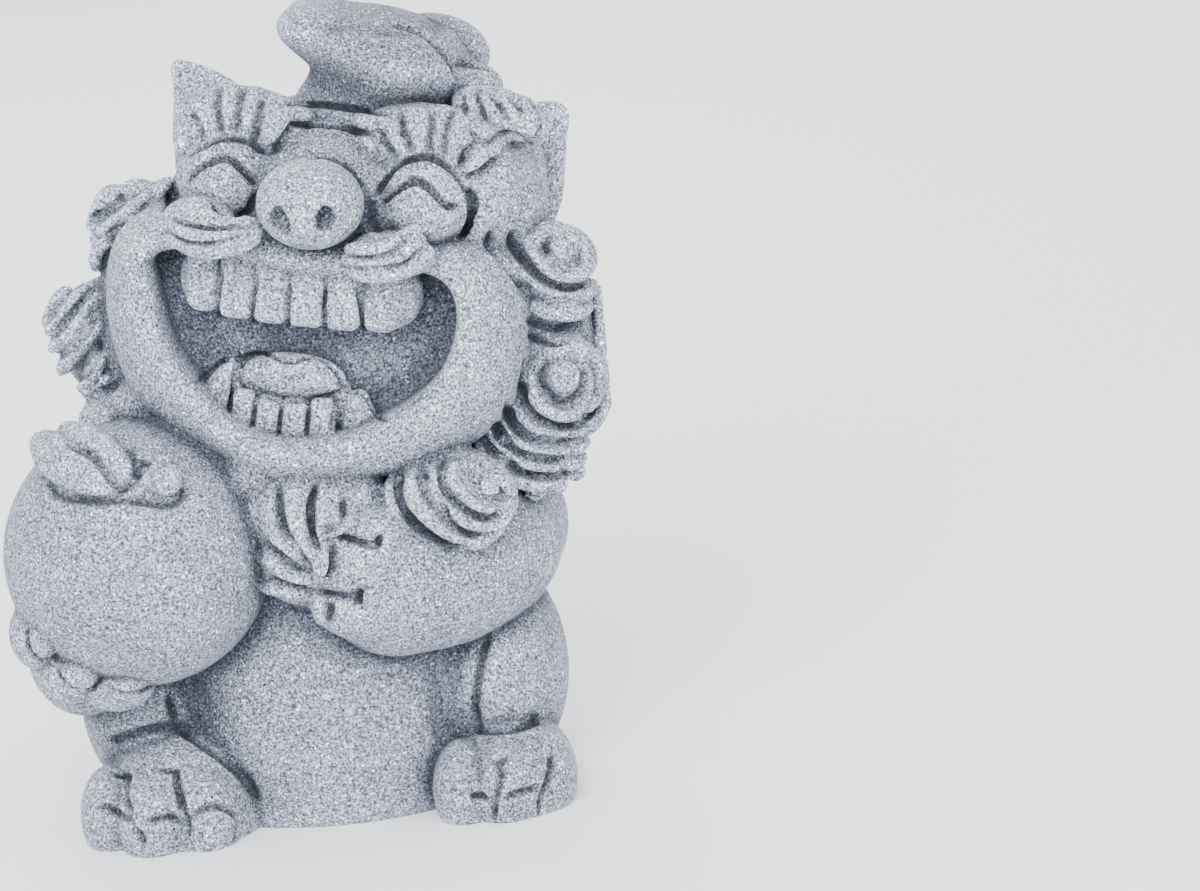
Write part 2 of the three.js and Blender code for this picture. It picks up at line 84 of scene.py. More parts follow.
class Stone:
    """A grid of distances to the skin, and a second grid for dark dust in lines and painted
    shade.
    """

    def __init__(self, low, high, cell):
        self.low = low
        self.cell = cell
        self.size = np.ceil((high - low) / cell).astype(int) + 1
        self.field = np.full(self.size, FAR, np.float32)
        self.dust_and_shade = np.zeros(self.size, np.float32)
        self.ticks = [
            (low[i] + cell * np.arange(self.size[i])).astype(np.float32) for i in range(3)
        ]

    def window(self, low, high):
        """The cells between two corners: first, last and the places of their points."""
        first = np.clip(np.floor((low - self.low) / self.cell), 0, self.size).astype(int)
        last = np.clip(np.ceil((high - self.low) / self.cell) + 1, 0, self.size).astype(int)
        last = np.maximum(last, first)
        x, y, z = [self.ticks[i][first[i] : last[i]] for i in range(3)]
        grid = (x[:, None, None], y[None, :, None], z[None, None, :])
        return first, last, grid

    def measure(self, parts, margin):
        """The nearest distance to any of the parts, in the cells round them."""
        low = np.min([part[0] for part in parts], axis=0) - margin
        high = np.max([part[1] for part in parts], axis=0) + margin
        first, last, _ = self.window(low, high)
        shape = np.full(last - first, FAR, np.float32)
        for part_low, part_high, distance in parts:
            start, end, grid = self.window(part_low - margin, part_high + margin)
            if np.any(end <= start):
                continue
            inner = tuple(slice(start[i] - first[i], end[i] - first[i]) for i in range(3))
            np.minimum(shape[inner], distance(*grid), out=shape[inner])
        return tuple(slice(first[i], last[i]) for i in range(3)), shape

    def add(self, parts, blend=0.6):
        place, shape = self.measure(parts, blend + SPARE)
        self.field[place] = soft_min(self.field[place], shape, blend)

    def cut(self, parts, blend=0.3):
        place, shape = self.measure(parts, blend + SPARE)
        self.field[place] = -soft_min(-self.field[place], shape, blend)

    def stain_dust_and_shade(self, parts, width, strength):
        """Darkening that fades out over the width round the parts: dust in lines, painted shade
        elsewhere.
        """
        place, shape = self.measure(parts, width)
        shade = strength * np.clip(1 - np.maximum(shape, 0) / width, 0, 1)
        self.dust_and_shade[place] = np.maximum(self.dust_and_shade[place], shade * shade * (3 - 2 * shade))

    def read(self, grid, places):
        """The values of a grid at any places, straight between its cells."""
        spot = (places - self.low) / self.cell
        base = np.clip(np.floor(spot).astype(int), 0, self.size - 2)
        part = np.clip(spot - base, 0, 1)
        total = 0
        for i, j, k in CORNERS:
            weight = np.abs(1 - i - part[..., 0]) * np.abs(1 - j - part[..., 1])
            weight = weight * np.abs(1 - k - part[..., 2])
            corner = grid[base[..., 0] + i, base[..., 1] + j, base[..., 2] + k]
            total = total + weight * corner
        return total

    def normals(self, places):
        """Which way the skin faces at the places."""
        out = np.empty_like(places)
        for i in range(3):
            reach = np.zeros(3)
            reach[i] = self.cell * 2
            ahead = self.read(self.field, places + reach)
            out[..., i] = ahead - self.read(self.field, places - reach)
        return out / np.maximum(np.linalg.norm(out, axis=-1, keepdims=True), 1e-6)

    def tell(self, what):
        """Say what was made and how much stone there is by now."""
        volume = np.count_nonzero(self.field < 0) * (self.cell / 10) ** 3
        print(f"{what}: {volume:.2f} cubic centimetres of stone")


stone = Stone(BLOCK_LOW, BLOCK_HIGH, CELL)
print("cells in the block:", stone.size, "of", CELL, "mm")

# %% [markdown]
# ## Two placings for the forms
# The lion's body stands square on its base, but its head leans and looks a little aside. Each
# form is put in the placing it belongs to, so that the whole head can keep its own plain sizes.
# All sizes are in millimetres, judged on the real object: x runs to the viewer's right, y
# away from the viewer and z up.

# %% Placings: the body and the leaning head


class Placing:
    """A place and three axes, for forms that are measured in their own plain frame."""

    def __init__(self, origin, axes):
        self.origin = np.array(origin, float)
        self.axes = np.array(axes, float)

    def point(self, local):
        return np.asarray(local, float) @ self.axes.T + self.origin

    def way(self, local):
        return np.asarray(local, float) @ self.axes.T


HEAD_AT = (5.0, -4.0, 57.0)
HEAD_LOOKS_ASIDE = -8.0
HEAD_LEANS = 9.0
BODY = Placing((0, 0, 0), np.eye(3))
HEAD = Placing(
    HEAD_AT,
    Matrix.Rotation(math.radians(HEAD_LOOKS_ASIDE), 3, "Z")
    @ Matrix.Rotation(math.radians(HEAD_LEANS), 3, "Y"),
)
print("the head leans", HEAD_LEANS, "degrees and looks aside by", -HEAD_LOOKS_ASIDE)

# %% [markdown]
# ## Eggs and pillows
# Most of the lion is round masses pressed together, so the first form is an egg. Teeth are blocks
# with soft edges, so the second is a pillow, a box with round edges. Both give their distance by
# a short formula, and that is all the grid needs.

# %% Eggs and pillows


def along(axes, i, x, y, z):
    """How far the offsets x, y, z reach along local axis i; a share of nothing is skipped."""
    total = 0
    for share, offset in zip(axes[:, i], (x, y, z)):
        if abs(share) > 1e-6:
            total = total + offset * np.float32(share)
    return total


def egg(placing, centre, radii, turn=None):
    axes = placing.axes if turn is None else placing.axes @ np.array(turn)
    middle = placing.point(centre)
    radii = np.array(radii, float)
    reach = np.sqrt(((axes * radii) ** 2).sum(axis=1))

    def distance(x, y, z):
        x, y, z = x - middle[0], y - middle[1], z - middle[2]
        size = 0
        slope = 1e-9
        for i in range(3):
            share = along(axes, i, x, y, z) / radii[i]
            size = size + share * share
            slope = slope + (share / radii[i]) ** 2
        size = np.sqrt(size)
        return size * (size - 1) / np.sqrt(slope)

    return [(middle - reach, middle + reach, distance)]


def pillow(placing, centre, half, edge):
    """A box with round edges, given by its half sizes and the radius of the edges."""
    middle = placing.point(centre)
    half = np.array(half, float)
    reach = np.abs(placing.axes * half).sum(axis=1)

    def distance(x, y, z):
        x, y, z = x - middle[0], y - middle[1], z - middle[2]
        beyond = 0
        most = -FAR
        for i in range(3):
            over = np.abs(along(placing.axes, i, x, y, z)) - (half[i] - edge)
            beyond = beyond + np.maximum(over, 0) ** 2
            most = np.maximum(most, over)
        return np.sqrt(beyond) + np.minimum(most, 0) - edge

    return [(middle - reach, middle + reach, distance)]


def add_eggs(placing, eggs):
    """Eggs from a table: a plain name, centre, radii and how softly each joins the stone."""
    for name, centre, radii, blend in eggs:
        stone.add(egg(placing, centre, radii), blend)
    print("eggs:", ", ".join(name for name, *_ in eggs))


print("egg and pillow are ready")

# %% [markdown]
# ## Strands
# Locks, fingers, claws and leaves are long soft forms that bend. A curve with a bevel could make
# them, but it would not melt into the stone beside it. A strand is a chain of round bars along a
# smooth path, measured like every other form, so it blends. Where strands lie side by side,
# fuller ones behind them close the gaps.

# %% Strands: round bars along a curved path
BLUNTEST = 0.02


def smooth_path(points, spacing=0.6):
    """Points evenly spread on a smooth curve through the given points."""
    points = np.array(points, float)
    gaps = np.sqrt(np.linalg.norm(np.diff(points, axis=0), axis=1))
    knots = np.concatenate([[0], np.cumsum(gaps)])
    slopes = np.gradient(points, knots, axis=0)
    count = max(4, int((gaps**2).sum() / spacing))
    t = np.linspace(0, knots[-1], count + 1)
    i = np.clip(np.searchsorted(knots, t, side="right") - 1, 0, len(knots) - 2)
    span = (knots[i + 1] - knots[i])[:, None]
    s = (t - knots[i])[:, None] / span
    return (
        points[i] * (2 * s**3 - 3 * s**2 + 1)
        + slopes[i] * span * (s**3 - 2 * s**2 + s)
        + points[i + 1] * (3 * s**2 - 2 * s**3)
        + slopes[i + 1] * span * (s**3 - s**2)
    )


def swell(count, fullness, start=1.0, end=1.0):
    """Widths that rise from one round end and fall to the other; fuller ends are blunter."""
    t = np.linspace(0, 1, count)
    ends = np.sqrt(np.maximum(1 - np.abs(2 * t - 1) ** fullness, BLUNTEST))
    return ends * (start + (end - start) * t)


def bar(a, b, at_a, at_b, squeeze):
    """A round bar from a to b with a radius at each end, flattened by the squeeze."""
    a2 = squeeze @ a
    step = squeeze @ b - a2
    length = max(float(step @ step), 1e-9)
    is_flat = not np.allclose(squeeze, np.eye(3))
    reach = max(at_a, at_b)

    def distance(x, y, z):
        if is_flat:
            x, y, z = [along(squeeze.T, i, x, y, z) for i in range(3)]
        x, y, z = x - a2[0], y - a2[1], z - a2[2]
        t = np.clip((x * step[0] + y * step[1] + z * step[2]) / length, 0, 1)
        gap = np.sqrt((x - t * step[0]) ** 2 + (y - t * step[1]) ** 2 + (z - t * step[2]) ** 2)
        return gap - (at_a + (at_b - at_a) * t)

    return (np.minimum(a, b) - reach, np.maximum(a, b) + reach, distance)


def chain(path, radii, squeeze=np.eye(3)):
    ends = range(len(path) - 1)
    return [bar(path[i], path[i + 1], radii[i], radii[i + 1], squeeze) for i in ends]


def strand(placing, points, half_width, tip=1.0, thickness=1.0, facing=(0, -1, 0), spacing=None):
    """A bar along a curved path; half_width may be one number or one for each given point."""
    widths = np.atleast_1d(half_width)
    spacing = spacing or max(0.5 * widths.min(), 0.5)
    path = smooth_path([placing.point(p) for p in points], spacing)
    t = np.linspace(0, 1, len(path))
    if len(widths) > 1:
        radii = np.interp(t, np.linspace(0, 1, len(widths)), widths)
    else:
        radii = widths[0] * swell(len(path), 5) * (1 + (tip - 1) * t * t)
    face = placing.way(facing)
    face = face / np.linalg.norm(face)
    squeeze = np.eye(3) + np.outer(face, face) * (1 / thickness - 1)
    return chain(path, radii, squeeze)


def locks(placing, rows, tip=0.95, thickness=1.0, set_back=1.3, fuller=1.2, blend=0.22):
    """Strands side by side, with fuller strands behind them so that no gap opens between."""
    for points, half in rows:
        behind = [(x, y + set_back, z) for x, y, z in points]
        stone.add(strand(placing, behind, half * fuller, tip), 0.8)
    for points, half in rows:
        stone.add(strand(placing, points, half, tip, thickness), blend)


print("strand and locks are ready")

# %% [markdown]
# ## Lines that a tool leaves
# The carver cuts a line along the skin as it is by then. Giving every point of it a depth by hand
# would be slow and never right, so a line is drawn flat, as the viewer sees it, and thrown on to
# the skin along the line of sight. There it becomes a cut with dark dust in it, or a raised cord.

# %% Lines thrown on to the skin
EYE = np.array([30.715, -586.084, 168.747])
print("the viewer's eye is at", EYE, "mm")


def evened(values, join):
    """Each value joined with the two before it and the two after it."""
    ends = np.concatenate([[values[0]] * 2, values, [values[-1]] * 2])
    return join([ends[i : i + len(values)] for i in range(5)], axis=0)


def throw(places, ways, reach=6.0):
    """Where rays through the places meet the skin, and which way the skin faces there."""
    ways = ways / np.linalg.norm(ways, axis=-1, keepdims=True)
    offsets = np.arange(-reach, reach, CELL * 0.5)
    samples = places[:, None, :] + ways[:, None, :] * offsets[None, :, None]
    inside = stone.read(stone.field, samples) < 0
    first = inside.argmax(axis=1)
    first = np.where(inside.any(axis=1) & (first > 0), first, len(offsets) // 2)
    drop = offsets[first]
    is_long = len(drop) > 6
    if is_long:
        drop = evened(drop, np.median)
    hits = places + ways * drop[:, None]
    normals = stone.normals(hits)
    if is_long:
        normals = evened(normals, np.sum)
        normals = normals / np.linalg.norm(normals, axis=1, keepdims=True)
    return hits, normals


def seen(placing, depth, points, reach, spacing=0.45):
    """A flat path at a depth of its placing, thrown on to the skin from the viewer's eye."""
    path = smooth_path([(x, depth, z) for x, z in points], spacing)
    places = placing.point(path)
    return throw(places, places - EYE, reach)


def carve(placing, depth, points, width, deep, dark, shoulder=0.0, reach=6.0):
    """A dark line cut into the skin; a shoulder rounds its edges off, as between two locks."""
    hits, normals = seen(placing, depth, points, reach)
    grow = swell(len(hits), 4)
    radii = 0.5 * width * grow
    stone.cut(chain(hits + normals * (radii - deep * grow)[:, None], radii))
    stone.cut(chain(hits, 0.7 * radii))
    if shoulder:
        wide = radii + shoulder
        stone.cut(chain(hits + normals * (wide - 0.4 * deep * grow)[:, None], wide), 0.6)
    stone.stain_dust_and_shade(chain(hits, radii * 0), width * 0.9, dark)


def lay(placing, depth, points, width, proud, blend=0.35, reach=6.0):
    """A raised cord laid on the skin."""
    hits, normals = seen(placing, depth, points, reach)
    radii = 0.5 * width * swell(len(hits), 5)
    stone.add(chain(hits - normals * (radii - proud)[:, None], radii), blend)


# %% [markdown]
# ## Trunk
# The lion sits upright like a stuffed sack. Arms and haunches hide its sides, so a turned outline
# is enough: a radius for each height, with a back a little behind the middle of the feet.

# %% Trunk
TRUNK_OUTLINE = [[0, 19.0], [2, 20.2], [8, 21.4], [18, 20.8], [26, 19.3], [32, 17], [42, 6]]
TRUNK_BACK = 1.0
TRUNK_TOP = 42


def trunk_distance(x, y, z):
    radius = np.interp(z, *np.transpose(TRUNK_OUTLINE))
    side = (np.sqrt(x * x + ((y - TRUNK_BACK) / 0.98) ** 2) - radius) * 0.95
    return np.maximum(side, z - TRUNK_TOP).astype(np.float32)


stone.add([(np.array([-22.0, -22, -1]), np.array([22.0, 23, TRUNK_TOP]), trunk_distance)], 1)
stone.tell("trunk")

# %% [markdown]
# ## Haunches, feet and toes
# The thighs bulge at both sides and the feet stick out before them, with three toes each. Boxes
# with many loops could be bent to this, but eggs stay round from every side, and a loop sets one
# leg and then the other.

# %% Haunches, feet and toes
HAUNCH_RADII = (8.4, 13, 12.2)
TOE_HEIGHT = 3.6
TOE_REACH = 5.4
LEFT_TOES = ((-13.8, -19.2, 3.8), (-19.4, -19.6, 3.9), (-24.0, -16.0, 3.4))
RIGHT_TOES = ((13.9, -17.4, 3.4), (18.2, -18.0, 3.7), (22.5, -15.0, 3.4))
LEGS = (
    (-18.9, (-16.6, -12.5, 3.2), (9, 11, 9), LEFT_TOES),
    (17.7, (18.5, -12.0, 3.2), (7.6, 10.6, 7.2), RIGHT_TOES),
)
for haunch, foot, foot_radii, toes in LEGS:
    stone.add(egg(BODY, (haunch, -3, 13.4), HAUNCH_RADII), 1.2)
    stone.add(egg(BODY, foot, foot_radii), 0.5)
    for across, forward, half in toes:
        stone.add(egg(BODY, (across, forward, TOE_HEIGHT), (half, TOE_REACH, TOE_REACH)), 0.5)
stone.tell("haunches, feet and toes")

# %% [markdown]
# ## Chest, shoulders and tail
# The chest bulges under the chin and the shoulders carry the heavy head. The tail lies up the
# back where no picture shows it, so it is kept plain: three short locks that fan out, as such
# lions have.

# %% Chest, shoulders and tail
CHEST = (
    ("chest", (0, -13.5, 33), (10, 9.3, 8), 1.0),
    ("shoulders", (1, 1, 33), (22, 15, 10), 2.0),
)
add_eggs(BODY, CHEST)
for side in (-1, 0, 1):
    tail_lock = [(0, 19.5, 4), (2.5 * side, 21, 11), (5 * side, 19.6, 17)]
    stone.add(strand(BODY, tail_lock, 2.6, 0.4, facing=(0, 1, 0)), 0.5)
stone.tell("chest, shoulders and tail")

# %% [markdown]
# ## The arm on the chest
# One arm lies across the chest like a stuffed sleeve, nearly as thick at the wrist as at the
# elbow. A strand with a half width for each of its points gives that slow swelling, which a
# single egg could not.

# %% The arm on the chest
FREE_ARM = [(19, -1, 28.6), (17, -8, 28.2), (13, -14, 27.8), (8.7, -17, 27.6)]
FREE_ARM_HALF_WIDTHS = (8.4, 9.2, 9.1, 8.6)
stone.add(strand(BODY, FREE_ARM, FREE_ARM_HALF_WIDTHS, spacing=2), 0.5)
stone.tell("the arm on the chest")

# %% [markdown]
# ## The arm below the peach
# The other arm is hidden but for its shoulder and three finger ends that hold the peach from
# below. Each finger end is two eggs, one for the finger and a smaller one for its nail, with
# hardly any blend between them so that a small step stays.

# %% The arm below the peach
SHOULDER = (("shoulder", (-20.5, -2, 28), (8, 10, 10), 1.0),)
FOREARM = [(-25, -1, 24), (-26, -9, 20), (-25, -17, 20)]
FINGER_ENDS = (
    ("upper finger", (-29.4, -18, 24.9), (3.3, 5, 3.9), 0.35),
    ("middle finger", (-26.4, -18.6, 20.6), (3.6, 5, 3.4), 0.35),
    ("lower finger", (-21.6, -19, 18.9), (3.9, 5, 2.8), 0.35),
    ("upper nail", (-28.6, -20.4, 25.2), (2.1, 3.6, 2.5), 0.1),
    ("middle nail", (-25.3, -21.4, 21.2), (2.4, 3.4, 2.1), 0.1),
    ("lower nail", (-20.9, -21.8, 19.6), (2.6, 3.2, 1.7), 0.1),
)
add_eggs(BODY, SHOULDER)
stone.add(strand(BODY, FOREARM, 6, 0.9), 1.0)
add_eggs(BODY, FINGER_ENDS)
stone.tell("the arm below the peach")

# %% [markdown]
# ## Peach, leaves and stem
# The peach is nearly a ball, smooth and without a seam. On it lie two thick leaves and the stub
# of a stem. A leaf carved in stone is a low ridge rather than a thin sheet, so the leaves are
# strands squeezed flat.

# %% Peach, leaves and stem
PEACH = (
    ("peach", (-18.3, -16, 32.3), (14.3, 14.1, 14.3), 0.3),
    ("foot of the leaves", (-21, -12, 46.0), (2.6, 3.0, 2.0), 0.4),
)
STEM_END = (("stem end", (-13.8, -26.6, 42.2), (1.7, 1.7, 1.7), 0.1),)
FRONT_LEAF = [(-26.7, -18.6, 45.3), (-24.9, -21.8, 44.2), (-21, -26, 42.4), (-19.5, -26.7, 41.5)]
BACK_LEAF = [(-24, -18.6, 46.3), (-22, -21.2, 45.9), (-18.6, -25.2, 43.6), (-17.8, -26, 42.4)]
STEM = [(-17.9, -25.6, 41.2), (-16.0, -26.0, 41.9), (-14.6, -26.2, 42.1)]
BACK_LEAF_HALF_WIDTHS = (1.4, 1.8, 1.9, 1.5, 0.7)
FRONT_LEAF_HALF_WIDTHS = (1.7, 2.4, 2.4, 1.8, 0.7)
BACK_LEAF_FACES = (0.1, -0.75, 0.65)
FRONT_LEAF_FACES = (-0.1, -0.8, 0.6)
add_eggs(BODY, PEACH)
back_leaf = strand(BODY, BACK_LEAF, BACK_LEAF_HALF_WIDTHS, thickness=0.85, facing=BACK_LEAF_FACES)
stone.add(back_leaf, 0.25)
front_leaf = strand(
    BODY, FRONT_LEAF, FRONT_LEAF_HALF_WIDTHS, thickness=0.85, facing=FRONT_LEAF_FACES
)
stone.add(front_leaf, 0.2)
stone.add(strand(BODY, STEM, (1.0, 1.1, 1.2)), 0.3)
add_eggs(BODY, STEM_END)
stone.tell("peach, leaves and stem")

# %% [markdown]
# ## The head
# The head is a broad egg in front of a bigger mass of hair, with fillers where the mane swells at
# both sides and where the forehead bulges. One sculpted mesh would do as well, but separate eggs
# stay easy to move and to blend.

# %% Skull, mane mass and forehead
HEAD_MASSES = (
    ("skull", (0, 3, 3), (20.5, 19, 17.2), 1.5),
    ("mane mass", (0, 6, -4), (24.0, 15.0, 18.2), 1.5),
    ("left of the mane", (-20.4, -0.5, -5.6), (5.6, 8.8, 12.6), 1.0),
    ("right of the mane", (22, -0.5, -5.6), (6.4, 8.8, 13.4), 1.0),
    ("forehead", (-0.5, -6.4, 10), (16, 11.6, 9.8), 1.0),
)
add_eggs(HEAD, HEAD_MASSES)
stone.tell("head")

# %% [markdown]
# ## Ears
# Both ears are thick, pointed and flat to the front. Each is a strand that narrows to its tip,
# squeezed to less than half its depth. Three soft eggs lead the foot of the right ear down to the
# cheek, where the picture shows it run out without an edge.

# %% Ears
LEFT_EAR = [(-13, 6, 10), (-15.6, 6.4, 15.5), (-17.7, 6.7, 18.4), (-19.9, 7, 20.5)]
RIGHT_EAR = [(15, 6, 6), (17.2, 6, 12), (18.8, 6.4, 16.4), (20.9, 7, 18.9)]
EAR_THICKNESS = 0.45
EAR_FOOT = (
    ("upper foot of the ear", (17.0, -1.5, 12.5), (4.8, 6.0, 8.0), 1.0),
    ("lower foot of the ear", (17.6, -4.2, 10.8), (4.8, 6.0, 6.4), 1.0),
    ("cheek below the ear", (15.4, -6.6, 12.8), (5.4, 7.0, 6.6), 1.5),
)
stone.add(strand(HEAD, LEFT_EAR, (6.5, 5.0, 3.0, 1.0), thickness=EAR_THICKNESS), 0.5)
stone.add(strand(HEAD, RIGHT_EAR, (6.5, 5.9, 4.3, 1.9), thickness=EAR_THICKNESS), 0.5)
add_eggs(HEAD, EAR_FOOT)
stone.tell("ears")

# %% [markdown]
# ## The topknot
# The hair on top is tied and folds over into a thick flat tongue, with one lobe behind it and
# one beside it. The tied neck is round, so it is a turned outline that leans with the head. The
# tongue is four eggs joined so softly that hardly a step is left between them.

# %% Topknot
NECK_OUTLINE = [
    [10, 9.6], [15, 9.6], [19.9, 9.7], [21, 9.2], [22.4, 8.4], [23.6, 7.9], [28.4, 8.4], [29, 6],
]
NECK_AT = (3.8, -1, 0)
NECK_TOP = 29
NECK_FOOT = 8
KNOT = (
    ("right of the knot", (13.2, -1, 22.9), (3.2, 4.4, 2.5), 0.4),
    ("root of the tongue", (5.4, -2.6, 23.8), (6.9, 7.4, 4.4), 1.5),
    ("tongue", (5.2, -2.4, 25.4), (7.0, 8.6, 4.0), 2.5),
    ("fold of the tongue", (0.8, -1.5, 27.0), (5.6, 8.8, 3.3), 2.5),
    ("end of the tongue", (-4.4, -1.4, 28.0), (3.5, 7.4, 2.5), 2.5),
    ("back lobe", (7.8, 4.6, 25.2), (6.2, 5.4, 4.2), 0.15),
)
SHADE_UNDER_TONGUE = [(-1.0, -9, 24.8), (4.5, -9.6, 24.0), (9.4, -9.4, 23.0)]


def head_offsets(x, y, z, origin=(0, 0, 0)):
    """How far places lie to the right, back and up from a point of the head."""
    middle = HEAD.point(origin)
    x, y, z = x - middle[0], y - middle[1], z - middle[2]
    return [along(HEAD.axes, i, x, y, z) for i in range(3)]


def head_box(low, high):
    """The upright box round a box that leans with the head."""
    corners = [HEAD.point(np.where(corner, high, low)) for corner in CORNERS]
    return np.min(corners, axis=0), np.max(corners, axis=0)


def neck_distance(x, y, z):
    out, back, up = head_offsets(x, y, z, NECK_AT)
    out = out + 0.5 * np.maximum(up - 24, 0)
    radius = np.interp(up, *np.transpose(NECK_OUTLINE))
    side = np.sqrt(out**2 + (back / 0.9) ** 2) - radius
    return np.maximum(side, np.maximum(up - NECK_TOP, NECK_FOOT - up)).astype(np.float32)


stone.add([(*head_box((-8.2, -11, 8), (15.8, 9, 30)), neck_distance)], 0.8)
add_eggs(HEAD, KNOT)
# Painted shade: a dark band under the tongue of hair, where its underside faces down, and a grey
# wash over the top of the topknot.
stone.stain_dust_and_shade(strand(HEAD, SHADE_UNDER_TONGUE, 0.8), 3.4, 0.6)
stone.stain_dust_and_shade(egg(HEAD, (4.0, -2.0, 27.4), (9.0, 9.0, 3.0)), 3.0, 0.42)
stone.tell("topknot")

# %% [markdown]
# ## The laughing mouth
# A broad rounded ring stands round a shallow bowl. Neither edge is an oval: both droop and bulge
# as a laugh does. So each is a closed curve through measured points, turned into a table of how
# far the edge lies in every direction from a centre.

# %% Edges of the lips and of the mouth
LIP_EDGE = [
    (-23.5, -2.5), (-23.4, 3), (-21.8, 6.6), (-17.2, 8.9), (10.5, 8.9), (14.5, 8.9), (18.1, 7.7),
    (20.8, 5.2), (22.4, -3.4), (20.5, -9.8), (14, -15.2), (-2.9, -19.1), (-7.2, -17.8),
    (-15.7, -14.4), (-20.2, -10.9),
]
MOUTH_EDGE = [
    (-17.3, 1.9), (-15.4, -3.7), (-13.6, -6.4), (-4.7, -12.6), (4.1, -11.9), (12.6, -6.3),
    (14.8, -1.7), (14.9, 2.3), (13.7, 4.5), (11.1, 5.5), (1.6, 4.6), (-16.3, 5), (-17.8, 3.6),
]
LIP_CENTRE = np.array([-0.5, -4.0])
MOUTH_CENTRE = np.array([-1.3, -2.5])


def edge_table(points, centre):
    """Distance from the centre to a closed edge, and its lean, for every direction."""
    loop = smooth_path(points + points[:3], 0.5)
    away = loop - centre
    angles = np.arctan2(away[:, 1], away[:, 0])
    order = np.argsort(angles)
    angles, reach = angles[order], np.linalg.norm(away, axis=1)[order]
    directions = np.linspace(-np.pi, np.pi, 361)
    reach = np.interp(directions, angles, reach, period=2 * np.pi)
    padded = np.concatenate([reach[-5:-1], reach, reach[1:5]])
    reach = np.convolve(padded, np.ones(5) / 5, "same")[4:-4]
    lean = np.gradient(reach, directions) / reach
    return directions, reach, 1 / np.sqrt(1 + lean**2)


def past_edge(table, centre, x, z):
    """How far places lie outside an edge; less than nothing inside it."""
    x, z = x - centre[0], z - centre[1]
    angle = np.arctan2(z, x)
    directions, reach, lean = table
    past = np.sqrt(x * x + z * z) - np.interp(angle, directions, reach)
    return past * np.interp(angle, directions, lean)


LIP_TABLE = edge_table(LIP_EDGE, LIP_CENTRE)
MOUTH_TABLE = edge_table(MOUTH_EDGE, MOUTH_CENTRE)
print("the lips reach", LIP_TABLE[1].min().round(1), "to", LIP_TABLE[1].max().round(1), "mm")

# %% [markdown]
# ## Ring and bowl
# The ring is the soft meeting of the outer edge and a front that curves back to both sides, and
# the bowl is cut into it with a rounded lip. A bent tube would have the same thickness all round,
# and the real lip hasn't.

# %% The ring of the lips and the bowl of the mouth
LIP_FRONT = -21.6
BOWL_FLOOR = -13.4
RING_BACK = 6.0
SET_BACK = 5.6
HALF_FACE = 23
FRONT_BLEND = 9.0
LIP_BLEND = 3.0
FLOOR_BLEND = 1.6


def set_back(out):
    """The face curves back to both sides."""
    return SET_BACK * (out / HALF_FACE) ** 2


def mouth_bowl(out, back, up, wider=0.0):
    side = past_edge(MOUTH_TABLE, MOUTH_CENTRE, out, up) + wider
    return -soft_min(-side, -(back - BOWL_FLOOR - set_back(out)), FLOOR_BLEND)


def ring_distance(x, y, z):
    out, back, up = head_offsets(x, y, z)
    outer = past_edge(LIP_TABLE, LIP_CENTRE, out, up)
    ring = -soft_min(-outer, -(LIP_FRONT + set_back(out) - back), FRONT_BLEND)
    ring = -soft_min(-ring, mouth_bowl(out, back, up), LIP_BLEND)
    return np.maximum(ring, back - RING_BACK).astype(np.float32)


def bowl_distance(x, y, z):
    return mouth_bowl(*head_offsets(x, y, z), wider=0.3).astype(np.float32)


stone.add([(*head_box((-25, -22, -21), (24, 6, 11)), ring_distance)], 0.9)
stone.cut([(*head_box((-19, -26, -14), (16, -14, 7)), bowl_distance)], 0.4)
print("the mouth is", round(BOWL_FLOOR - LIP_FRONT, 1), "mm deep")

# %% [markdown]
# ## Tongue and teeth
# Six square teeth hang from the upper lip and four small ones stand before the tongue. Carved
# teeth are blocks with rounded edges, so each is a pillow, and a loop sets them side by side
# along the curve of the lip. The outermost upper ones get rounder edges.

# %% Tongue and teeth
TONGUE = (
    ("tongue", (-1.8, -14.6, -7.0), (5.5, 2.4, 2.4), 0.3),
)
MOUTH_CORNERS = (
    ("gum at the right", (8.7, -14.4, 2.7), (2.5, 2.9, 3.4), 0.9),
    ("gum at the left", (-13.0, -13.8, 2.6), (1.6, 2.4, 2.8), 0.5),
)
UPPER_EDGES = (-13.5, -9.8, -6.1, -2.5, 1.4, 5.2, 9.2)
UPPER_TOPS = (6.4, 6.2, 6, 6, 6.2, 6.6)
UPPER_BOTTOMS = (-0.7, -0.9, -1.0, -1.0, -1.0, -1.0)
LOWER_EDGES = (-7.8, -5.4, -2.6, 0.3, 3.0)
LOWER_TOPS = (-8.5, -9.1, -9.1, -8.7)
LOWER_BOTTOMS = (-12.4, -13, -13.2, -13)


def row_of_teeth(edges, tops, bottoms, middle_depth, half_depth, rounding, blend):
    """Pillows side by side; the first three arguments say where each tooth begins and ends."""
    last = len(tops) - 1
    for i, (left, right, top, bottom) in enumerate(zip(edges, edges[1:], tops, bottoms)):
        across = 0.5 * (left + right)
        half = (0.5 * (right - left) + 0.05, half_depth, 0.5 * (top - bottom))
        edge = rounding[0] if i in (0, last) else rounding[1]
        tooth = pillow(HEAD, (across, middle_depth(across), 0.5 * (top + bottom)), half, edge)
        stone.add(tooth, blend)


def upper_depth(across):
    return -15.5 + 4 * (across / HALF_FACE) ** 2


def lower_depth(across):
    return -15.4


stone.add(pillow(HEAD, (-2.2, -14.0, -9.6), (6.4, 1.6, 2.6), 1.2), 0.6)
add_eggs(HEAD, TONGUE)
row_of_teeth(UPPER_EDGES, UPPER_TOPS, UPPER_BOTTOMS, upper_depth, 3.2, (1.6, 1.1), 0.25)
add_eggs(HEAD, MOUTH_CORNERS)
row_of_teeth(LOWER_EDGES, LOWER_TOPS, LOWER_BOTTOMS, lower_depth, 2, (0.8, 0.8), 0.2)
stone.tell("tongue and teeth")

# %% [markdown]
# ## Two lower points
# At each side of the lower teeth stands a pointed tooth. A short strand that narrows upward has
# the right swell at its foot, where a cone would look turned on a lathe.

